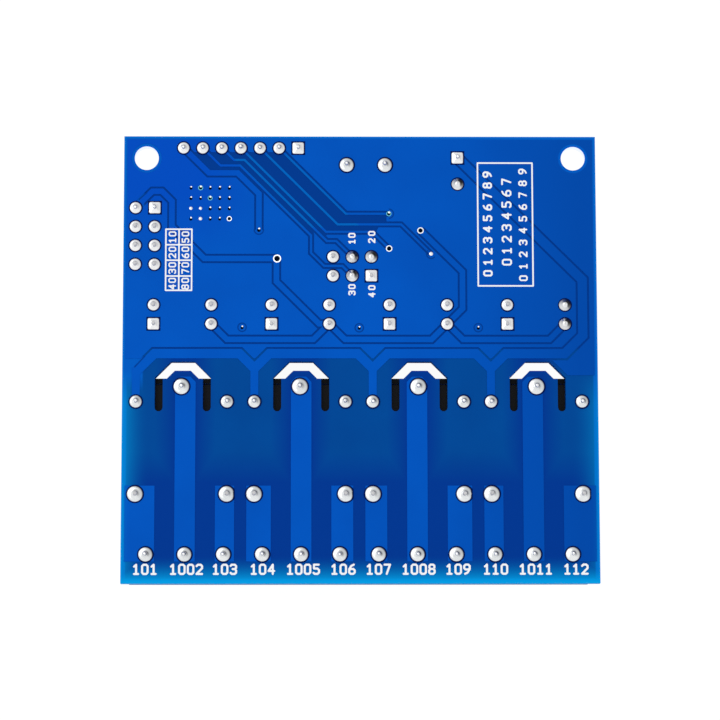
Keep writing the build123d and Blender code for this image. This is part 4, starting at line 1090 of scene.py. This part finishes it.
class ViaState(Enum):
    """How a via's hole looks from the solder side."""

    OPEN = "open"
    RINGED = "ringed"
    TINNED = "tinned"
    FILLED = "filled"


@dataclass(frozen=True)
class Via:
    """One plated via, in millimetres from the middle of the board."""

    x: float
    y: float
    state: ViaState
    radius: float


@dataclass(frozen=True)
class GapArc:
    """Rounded end of a gap in the copper about a via, from one bearing in degrees to another."""

    x: float
    y: float
    inner: float
    first: float = 0.0
    last: float = 360.0


@dataclass
class Vias:
    """The open vias and the field of small ones under the heat pad."""

    places: tuple[Via, ...] = (
        Via(-13.42, 17.12, ViaState.OPEN, 0.28), Via(-11.0, 13.24, ViaState.TINNED, 0.48),
        Via(3.82, 19.29, ViaState.RINGED, 0.3), Via(8.02, 17.03, ViaState.TINNED, 0.38),
        Via(3.85, 14.6, ViaState.TINNED, 0.38), Via(9.41, 13.89, ViaState.FILLED, 0.28),
        Via(-23.9, 12.5, ViaState.OPEN, 0.22), Via(-15.6, 4.03, ViaState.OPEN, 0.24),
        Via(-0.13, 3.97, ViaState.OPEN, 0.24), Via(15.6, 3.99, ViaState.OPEN, 0.24))
    field_left: float = -22.45
    field_top: float = 22.77
    field_pitch: Point = (1.275, 1.39)
    field_columns: int = 5
    field_rows: int = 4
    field_radii: Point = (0.23, 0.26)
    ring_extra: float = 0.05
    seed: int = 3
    with_ring: tuple[ViaState, ...] = (ViaState.RINGED, ViaState.TINNED)
    sink: float = 0.04
    lift: float = 0.012
    hole_lift: float = 0.008
    ring_span: Point = (0.8, 1.12)
    hole_share: float = 0.84
    # the dark disc in each hole is painted shade, set a little low in the open ones
    hole_drop: float = 0.25
    # a small solder disc just above each hole, a little to the right, stands for a painted glint
    glint_rise: float = 0.55
    glint_right: float = 0.2
    glint: tuple[Point, ...] = ((0.52, 0.0), (0.44, 0.08), (0.12, 0.1))
    filling: tuple[Point, ...] = ((1.0, 0.0), (0.9, 0.07), (0.5, 0.12), (0.1, 0.13))
    sides: int = 20
    gap_width: float = 0.16
    arc_steps: int = 16
    gap_arcs: tuple[GapArc, ...] = (
        GapArc(-13.42, 17.12, 0.54, 180.0, 360.0), GapArc(3.82, 19.29, 0.54, -90.0, 90.0),
        GapArc(9.41, 13.89, 0.54, 130.0, 320.0), GapArc(-15.6, 4.03, 0.48), GapArc(-0.13, 3.97, 0.48),
        GapArc(15.6, 3.99, 0.48))
    gap_strokes: tuple[tuple[Point, Point], ...] = (((-28.3, 22.1), (-29.3, 21.2)),
                                                    ((-28.4, 0.15), (-29.7, -1.25)))

    def build(self, face: float, finishes: Finishes) -> None:
        """Makes the rims, the dark discs of painted shade in the holes, the solder plugs and the painted
        glints beside the holes.

        Args:
            face: height of the solder side, in millimetres.
            finishes: the board's materials.
        """
        self._gap_ends(face, finishes)
        rims, holes, plugs = (MeshPiece(name) for name in ("via_rims", "via_holes", "via_plugs_and_glints"))
        base, thick = face - self.sink, self.sink + self.lift
        for via in (*self.places, *self._field()):
            if via.state is ViaState.FILLED:
                plugs.lathe([(via.radius * share, height) for share, height in self.filling],
                            (via.x, via.y, base), self.sides)
                continue
            middle = via.y - self.hole_drop * via.radius
            if via.state in self.with_ring:
                middle = via.y
                ring = rims if via.state is ViaState.RINGED else plugs
                inner, outer = (via.radius * share for share in self.ring_span)
                ring.lathe([(inner, 0.0), (outer, 0.0), (outer, thick), (inner, thick)], (via.x, via.y, base),
                           self.sides, joined=True)
            # dark disc: painted shade in the hole
            holes.prism(circle((via.x, middle), via.radius * self.hole_share, self.sides), base,
                        face + self.hole_lift)
            # painted glint: a small solder disc just above the hole, a little to the right
            if via.state is not ViaState.TINNED:
                plugs.lathe([(via.radius * share, height) for share, height in self.glint],
                            (via.x + via.radius * self.glint_right, via.y + via.radius * self.glint_rise, base),
                            self.sides)
        rims.make(finishes.by_name["via_rim"], BOARD_BODY, "solder")
        holes.make(finishes.by_name["hole_dark"], BOARD_BODY, "laminate")
        plugs.make(finishes.by_slot["solder"], BOARD_BODY, "solder")

    def _field(self) -> list[Via]:
        """Lists the small vias under the heat pad, column by column.

        Returns:
            The vias with their looks.
        """
        draw = random.Random(self.seed)
        states = {(2, 1): ViaState.RINGED, (1, 0): ViaState.RINGED, (4, 3): ViaState.TINNED,
                  (0, 2): ViaState.FILLED, (1, 2): ViaState.FILLED, (1, 3): ViaState.FILLED}
        found = []
        for column in range(self.field_columns):
            for row in range(self.field_rows):
                state = states.get((column, row), ViaState.OPEN)
                extra = self.ring_extra if state in self.with_ring else 0.0
                radius = draw.uniform(*self.field_radii) + extra
                found.append(Via(self.field_left + column * self.field_pitch[0],
                                 self.field_top - row * self.field_pitch[1], state, radius))
        return found

    def _gap_ends(self, face: float, finishes: Finishes) -> None:
        """Rounds off the gaps that end at a via, and rings the three vias by the coil rail.

        Args:
            face: height of the solder side, in millimetres.
            finishes: the board's materials.
        """
        ends = MeshPiece("gap_ends")
        base, top = face - self.sink, face + self.lift / 2
        for arc in self.gap_arcs:
            turns = [math.radians(arc.first + (arc.last - arc.first) * step / self.arc_steps)
                     for step in range(self.arc_steps + 1)]
            near = around((arc.x, arc.y), arc.inner, turns)
            far = around((arc.x, arc.y), arc.inner + self.gap_width, turns)
            for corners in zip(near, far, far[1:], near[1:]):
                ends.prism(list(corners), base, top)
        for start, end in self.gap_strokes:
            ends.stroke(start, end, self.gap_width, base, top)
        ends.make(finishes.by_name["gap_tone"], BOARD_BODY, "laminate")


class Reading(Enum):
    """Which way a line of print runs, in degrees."""

    ACROSS = 0.0
    UPWARDS = 90.0


DIGITS: dict[str, tuple[tuple[Point, ...], ...]] = {
    "0": (((0.15, 0.0), (0.45, 0.0), (0.6, 0.15), (0.6, 0.85), (0.45, 1.0), (0.15, 1.0), (0.0, 0.85),
           (0.0, 0.15), (0.15, 0.0)),),
    "1": (((0.08, 0.8), (0.3, 1.0), (0.3, 0.0)), ((0.08, 0.0), (0.52, 0.0))),
    "2": (((0.0, 0.85), (0.15, 1.0), (0.45, 1.0), (0.6, 0.85), (0.6, 0.62), (0.0, 0.0), (0.6, 0.0)),),
    "3": (((0.0, 0.88), (0.12, 1.0), (0.45, 1.0), (0.6, 0.86), (0.6, 0.66), (0.45, 0.53), (0.6, 0.38),
           (0.6, 0.14), (0.45, 0.0), (0.12, 0.0), (0.0, 0.12)), ((0.22, 0.53), (0.45, 0.53))),
    "4": (((0.46, 0.0), (0.46, 1.0), (0.0, 0.32), (0.6, 0.32)),),
    "5": (((0.56, 1.0), (0.05, 1.0), (0.05, 0.58), (0.42, 0.58), (0.6, 0.42), (0.6, 0.16), (0.44, 0.0),
           (0.12, 0.0), (0.0, 0.12)),),
    "6": (((0.5, 1.0), (0.22, 0.86), (0.0, 0.5), (0.0, 0.15), (0.15, 0.0), (0.45, 0.0), (0.6, 0.15),
           (0.6, 0.38), (0.45, 0.53), (0.15, 0.53), (0.0, 0.4)),),
    "7": (((0.0, 1.0), (0.6, 1.0), (0.24, 0.0)),),
    "8": (((0.16, 0.53), (0.03, 0.66), (0.03, 0.87), (0.16, 1.0), (0.44, 1.0), (0.57, 0.87), (0.57, 0.66),
           (0.44, 0.53), (0.16, 0.53), (0.0, 0.38), (0.0, 0.15), (0.15, 0.0), (0.45, 0.0), (0.6, 0.15),
           (0.6, 0.38), (0.44, 0.53)),),
    "9": (((0.1, 0.0), (0.38, 0.14), (0.6, 0.5), (0.6, 0.85), (0.45, 1.0), (0.15, 1.0), (0.0, 0.85),
           (0.0, 0.62), (0.15, 0.47), (0.45, 0.47), (0.6, 0.6)),),
}


@dataclass(frozen=True)
class Lettering:
    """Height of a digit's centre lines, width of its strokes and step to the next digit."""

    height: float
    stroke: float
    pitch: float
    reading: Reading = Reading.UPWARDS


@dataclass
class Legend:
    """White print of the solder side: frames, and plain numbers in place of words."""

    base: float = 0.0
    top: float = 0.0
    strokes: int = 0
    line: float = 0.2
    lift: float = 0.02
    bed: float = 0.045
    step: float = 0.0015
    levels: int = 9
    glyph_width: float = 0.6
    terminal_row_y: float = -27.92
    terminal_letters: Lettering = Lettering(1.2, 0.27, 1.14, Reading.ACROSS)
    terminal_words: tuple[tuple[str, float], ...] = (
        ("101", -28.15), ("1002", -22.76), ("103", -17.75), ("104", -12.8), ("1005", -7.5), ("106", -2.27),
        ("107", 2.34), ("1008", 7.6), ("109", 12.75), ("110", 17.65), ("1011", 22.9), ("112", 28.17))
    table: tuple[float, float, float, float] = (-25.73, -22.3, 8.97, 17.17)
    table_middle: float = -23.99
    table_lines: tuple[float, ...] = (10.88, 13.0, 15.08)
    table_columns: Point = (-24.86, -23.14)
    table_rows: tuple[float, ...] = (16.1, 14.04, 11.94, 9.86)
    table_letters: Lettering = Lettering(0.84, 0.18, 0.88)
    jumper_words: tuple[tuple[str, Point, Lettering], ...] = (
        ("10", (-1.09, 15.94), Lettering(0.77, 0.2, 0.85)),
        ("20", (1.54, 16.14), Lettering(0.77, 0.2, 0.98)),
        ("30", (-1.09, 9.05), Lettering(0.77, 0.2, 0.85)),
        ("40", (1.54, 8.85), Lettering(0.77, 0.2, 0.98)))
    field: tuple[float, float, float, float] = (15.64, 22.91, 9.59, 26.16)
    field_rows: tuple[tuple[str, Point, Lettering], ...] = (
        ("0123456789", (16.93, 17.94), Lettering(1.02, 0.24, 1.48)),
        ("01234567", (19.46, 18.2), Lettering(1.12, 0.23, 1.55)),
        ("0123456789", (21.63, 17.82), Lettering(0.94, 0.21, 1.6)))

    def build(self, face: float, finishes: Finishes) -> None:
        """Makes the print.

        Args:
            face: height of the copper's top, in millimetres.
            finishes: the board's materials.
        """
        ink = MeshPiece("white_print")
        self.base, self.top = face - self.bed, face + self.lift
        for word, x in self.terminal_words:
            self._word(ink, word, (x, self.terminal_row_y), self.terminal_letters)
        self._socket_table(ink)
        for word, middle, letters in self.jumper_words:
            self._word(ink, word, middle, letters)
        self._frame(ink, *self.field)
        for word, middle, letters in self.field_rows:
            self._word(ink, word, middle, letters)
        ink.make(finishes.by_name["white_print"], BOARD_BODY, "laminate")

    def _line(self, ink: MeshPiece, start: Point, end: Point, width: float) -> None:
        """Adds one printed line, a hair higher or lower than the one before it, so that no faces meet."""
        self.strokes += 1
        ink.stroke(start, end, width, self.base, self.top + self.step * (self.strokes % self.levels))

    def _frame(self, ink: MeshPiece, left: float, right: float, bottom: float, top: float) -> None:
        """Adds a printed rectangle.

        Args:
            ink: the piece that gathers the print.
            left: its left side.
            right: its right side.
            bottom: its lower side.
            top: its upper side.
        """
        corners = [(left, bottom), (right, bottom), (right, top), (left, top)]
        for start, end in zip(corners, corners[1:] + corners[:1]):
            self._line(ink, start, end, self.line)

    def _word(self, ink: MeshPiece, word: str, middle: Point, letters: Lettering) -> None:
        """Adds a row of digits about its middle.

        Args:
            ink: the piece that gathers the print.
            word: the digits.
            middle: middle of the row.
            letters: size and direction of the digits.
        """
        turn = Matrix.Rotation(math.radians(letters.reading.value), 2)
        length = (len(word) - 1) * letters.pitch + self.glyph_width * letters.height
        for index, digit in enumerate(word):
            for path in DIGITS[digit]:
                points = []
                for px, py in path:
                    spot = turn @ Vector((index * letters.pitch + px * letters.height - length / 2,
                                          (py - 0.5) * letters.height))
                    points.append((middle[0] + spot.x, middle[1] + spot.y))
                for start, end in zip(points, points[1:]):
                    self._line(ink, start, end, letters.stroke)

    def _socket_table(self, ink: MeshPiece) -> None:
        """Adds the table of two columns and four rows beside the module socket.

        Args:
            ink: the piece that gathers the print.
        """
        left, right, bottom, top = self.table
        self._frame(ink, *self.table)
        self._line(ink, (self.table_middle, bottom), (self.table_middle, top), self.line)
        for y in self.table_lines:
            self._line(ink, (left, y), (right, y), self.line)
        for row, y in enumerate(self.table_rows):
            for column, x in enumerate(self.table_columns):
                number = row + 1 + column * len(self.table_rows)
                self._word(ink, f"{number}0", (x, y), self.table_letters)


@dataclass
class TerminalScrews:
    """Round slotted clamp screws, each on its own body."""

    sides: int = 36
    bevel: float = 0.12
    head: float = 1.2
    shank_share: float = 0.66
    point: float = 0.15
    point_share: float = 0.8
    slot_width: float = 0.6
    slot_depth: float = 0.7

    def build(self, nodes: dict[str, bpy.types.Object], finishes: Finishes) -> None:
        """Makes one screw for each screw node.

        Args:
            nodes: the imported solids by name.
            finishes: the board's materials.
        """
        for name in sorted(node for node in nodes if node.startswith("screw_")):
            low, high = (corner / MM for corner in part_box(name))
            x, y = (low.x + high.x) / 2, (low.y + high.y) / 2
            radius, length = (high.x - low.x) / 2, high.z - low.z
            shank = radius * self.shank_share
            profile = [(radius - self.bevel, 0.0), (radius, self.bevel), (radius, self.head),
                       (shank, self.head), (shank, length - self.point), (shank * self.point_share, length)]
            screw = MeshPiece(f"{name}_turned")
            screw.lathe(profile, (x, y, low.z), self.sides)
            piece = screw.make(finishes.by_slot["plated_steel"], f"{name}_body", "plated_steel",
                               stands_for=(name,))
            self._cut_slot(piece, (x, y, low.z), radius)

    def _cut_slot(self, piece: bpy.types.Object, face: Place, radius: float) -> None:
        """Cuts the driver's slot.

        Args:
            piece: the screw.
            face: middle of the head's outer face.
            radius: the head's radius.
        """
        cutter = bmesh.new()
        bmesh.ops.create_cube(cutter, size=1.0)
        bmesh.ops.scale(cutter, vec=(self.slot_width * MM, 3 * radius * MM, 2 * self.slot_depth * MM),
                        verts=cutter.verts)
        bmesh.ops.translate(cutter, vec=Vector(face) * MM, verts=cutter.verts)
        mesh = bpy.data.meshes.new("slot_cutter")
        cutter.to_mesh(mesh)
        cutter.free()
        tool = bpy.data.objects.new("slot_cutter", mesh)
        bpy.context.scene.collection.objects.link(tool)
        cut = piece.modifiers.new("slot", "BOOLEAN")
        cut.object = tool
        cut.operation = "DIFFERENCE"
        cut.solver = "EXACT"
        view = bpy.context.evaluated_depsgraph_get()
        result = bpy.data.meshes.new_from_object(piece.evaluated_get(view))
        piece.modifiers.clear()
        piece.data = result
        bpy.data.objects.remove(tool)


@dataclass
class HeaderPins:
    """Square posts with tapered ends."""

    tip: float = 0.5
    narrow: float = 0.45
    smooth_angle: float = 30.0

    def build(self, pins: list[Island], finishes: Finishes) -> None:
        """Makes the posts.

        Args:
            pins: box of each packed post.
            finishes: the board's materials.
        """
        posts = MeshPiece("tapered_posts")
        for pin in pins:
            loops = []
            for share, height in ((self.narrow, pin.low), (1.0, pin.low + self.tip), (1.0, pin.high)):
                half = pin.half_x * share
                loops.append([Vector((pin.x + side * half, pin.y + rise * half, height))
                              for side, rise in CORNERS])
            posts.rings(loops)
        posts.make(finishes.by_slot["contact_brass"], BOARD_BODY, "contact_brass", self.smooth_angle,
                   ("header_pins",))


@dataclass
class CapacitorCan:
    """Round sleeved can with its rolled groove and crown."""

    sides: int = 72
    smooth_angle: float = 50.0
    crown: tuple[Point, ...] = ((0.9, 0.12), (0.75, 0.0), (0.3, 0.08), (0.0, 0.4))
    groove: tuple[Point, ...] = ((0.0, 2.6), (0.14, 2.25), (0.3, 1.9), (0.14, 1.55), (0.0, 1.2), (0.0, 0.25),
                                 (0.3, 0.0))

    def build(self, finishes: Finishes) -> None:
        """Makes the can.

        Args:
            finishes: the board's materials.
        """
        low, high = (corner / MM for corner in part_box("power_capacitor"))
        radius, height = (high.x - low.x) / 2, high.z - low.z
        profile = [(radius - inset, rise) for inset, rise in self.crown]
        profile += [(radius - inset, height - drop) for inset, drop in self.groove]
        can = MeshPiece("sleeved_can")
        can.lathe(profile, ((low.x + high.x) / 2, (low.y + high.y) / 2, low.z), self.sides)
        can.make(finishes.by_slot["capacitor_sleeve"], BOARD_BODY, "capacitor_sleeve", self.smooth_angle,
                 ("power_capacitor",))


@dataclass
class Studio:
    """Camera, floor, world and lamp."""

    camera_place: Place = (-5.531, -55.674, 408.893)
    camera_turn: Place = (0.1404, -0.0138, -0.0016)
    focal_pixels: float = 3000.0
    frame_pixels: float = 720.0
    sensor: float = 36.0
    nearest: float = 0.01
    floor_half: float = 1.5
    floor_drop: float = 0.00005
    floor_colour: Linear = (0.85, 0.85, 0.86, 1.0)
    floor_share: float = 0.86
    floor_glow: float = 1.1
    world_level: float = 0.86
    overhead_level: float = 1.2
    overhead_rise: float = 0.55
    dark_side: Place = (0.7, 0.7, 0.0)
    dark_half: float = 0.6
    horizon_levels: Point = (0.75, 0.15)
    key_power: float = 0.6
    key_place: Place = (-0.25, 0.15, 0.6)
    key_target: Place = (0.0, 0.0, 0.017)
    key_size: float = 0.5

    def build(self) -> None:
        """Sets the stage up."""
        self._camera()
        self._floor()
        self._world()
        self._lamp()
        bpy.context.scene.view_settings.view_transform = "Standard"

    def _camera(self) -> None:
        """Places the camera where the photograph was taken from."""
        data = bpy.data.cameras.new("camera")
        data.sensor_width = self.sensor
        data.lens = self.focal_pixels / self.frame_pixels * self.sensor
        data.clip_start = self.nearest
        camera = bpy.data.objects.new("camera", data)
        camera.location = Vector(self.camera_place) * MM
        camera.rotation_euler = Euler(self.camera_turn)
        bpy.context.scene.collection.objects.link(camera)
        bpy.context.scene.camera = camera

    def _floor(self) -> None:
        """Lays the pale floor, which looks white to the camera and keeps a soft shadow."""
        work = bmesh.new()
        bmesh.ops.create_grid(work, x_segments=1, y_segments=1, size=self.floor_half)
        mesh = bpy.data.meshes.new("floor")
        work.to_mesh(mesh)
        work.free()
        floor = bpy.data.objects.new("floor", mesh)
        floor.location = (0, 0, -self.floor_drop)
        bpy.context.scene.collection.objects.link(floor)
        material = bpy.data.materials.new("floor_paper")
        material.use_nodes = True
        material.node_tree.nodes.clear()
        graph = Graph(material.node_tree)
        paths = graph.node("LightPath").outputs
        seen = graph.reckon("MAXIMUM", paths["Is Camera Ray"], paths["Is Transmission Ray"])
        matt = graph.node("BsdfDiffuse", Color=self.floor_colour)
        glow = graph.node("Emission", Color=linear(WHITE), Strength=self.floor_glow)
        graph.node("OutputMaterial", graph.node("MixShader", seen * self.floor_share, matt, glow))
        mesh.materials.append(material)

    def _world(self) -> None:
        """Lights everything softly, white to the camera and brighter overhead to metal."""
        world = bpy.data.worlds.new("studio")
        bpy.context.scene.world = world
        world.use_nodes = True
        world.node_tree.nodes.clear()
        graph = Graph(world.node_tree)
        paths = graph.node("LightPath").outputs
        place = graph.node("TexCoord").outputs["Generated"]
        side = graph.node("VectorMath", place, self.dark_side, operation="DOT_PRODUCT")
        horizon = graph.node("MapRange", side.outputs["Value"], -self.dark_half, self.dark_half,
                             *self.horizon_levels)
        ramp = graph.node("MapRange", graph.node("SeparateXYZ", place).outputs["Z"], 0.0, self.overhead_rise,
                          horizon, self.overhead_level, interpolation_type="SMOOTHSTEP")
        soft = graph.node("Background", linear(WHITE), self.world_level)
        gloss = graph.node("Background", Strength=ramp)
        seen = graph.node("Background", linear(WHITE))
        lit = graph.node("MixShader", paths["Is Glossy Ray"], soft, gloss)
        graph.node("OutputWorld", graph.node("MixShader", paths["Is Camera Ray"], lit, seen))

    def _lamp(self) -> None:
        """Hangs one large soft lamp at the upper left."""
        data = bpy.data.lights.new("key", "AREA")
        data.energy = self.key_power
        data.size = self.key_size
        lamp = bpy.data.objects.new("key", data)
        lamp.location = self.key_place
        direction = Vector(self.key_target) - Vector(self.key_place)
        lamp.rotation_euler = direction.to_track_quat("-Z", "Y").to_euler()
        bpy.context.scene.collection.objects.link(lamp)


def main() -> None:
    """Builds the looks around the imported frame."""
    logging.basicConfig(level=logging.INFO, format="%(message)s")
    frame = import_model()
    nodes = frame["nodes"]
    Studio().build()
    finishes = Finishes(Effects())
    finishes.dress(nodes, frame["record"])
    copper_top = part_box("copper_layer")[1].z / MM
    SolderJoints().build(islands(nodes["solder_joints"]), finishes)
    Vias().build(copper_top, finishes)
    Legend().build(copper_top, finishes)
    TerminalScrews().build(nodes, finishes)
    HeaderPins().build(islands(nodes["header_pins"]), finishes)
    CapacitorCan().build(finishes)


if __name__ == "__main__":
    main()
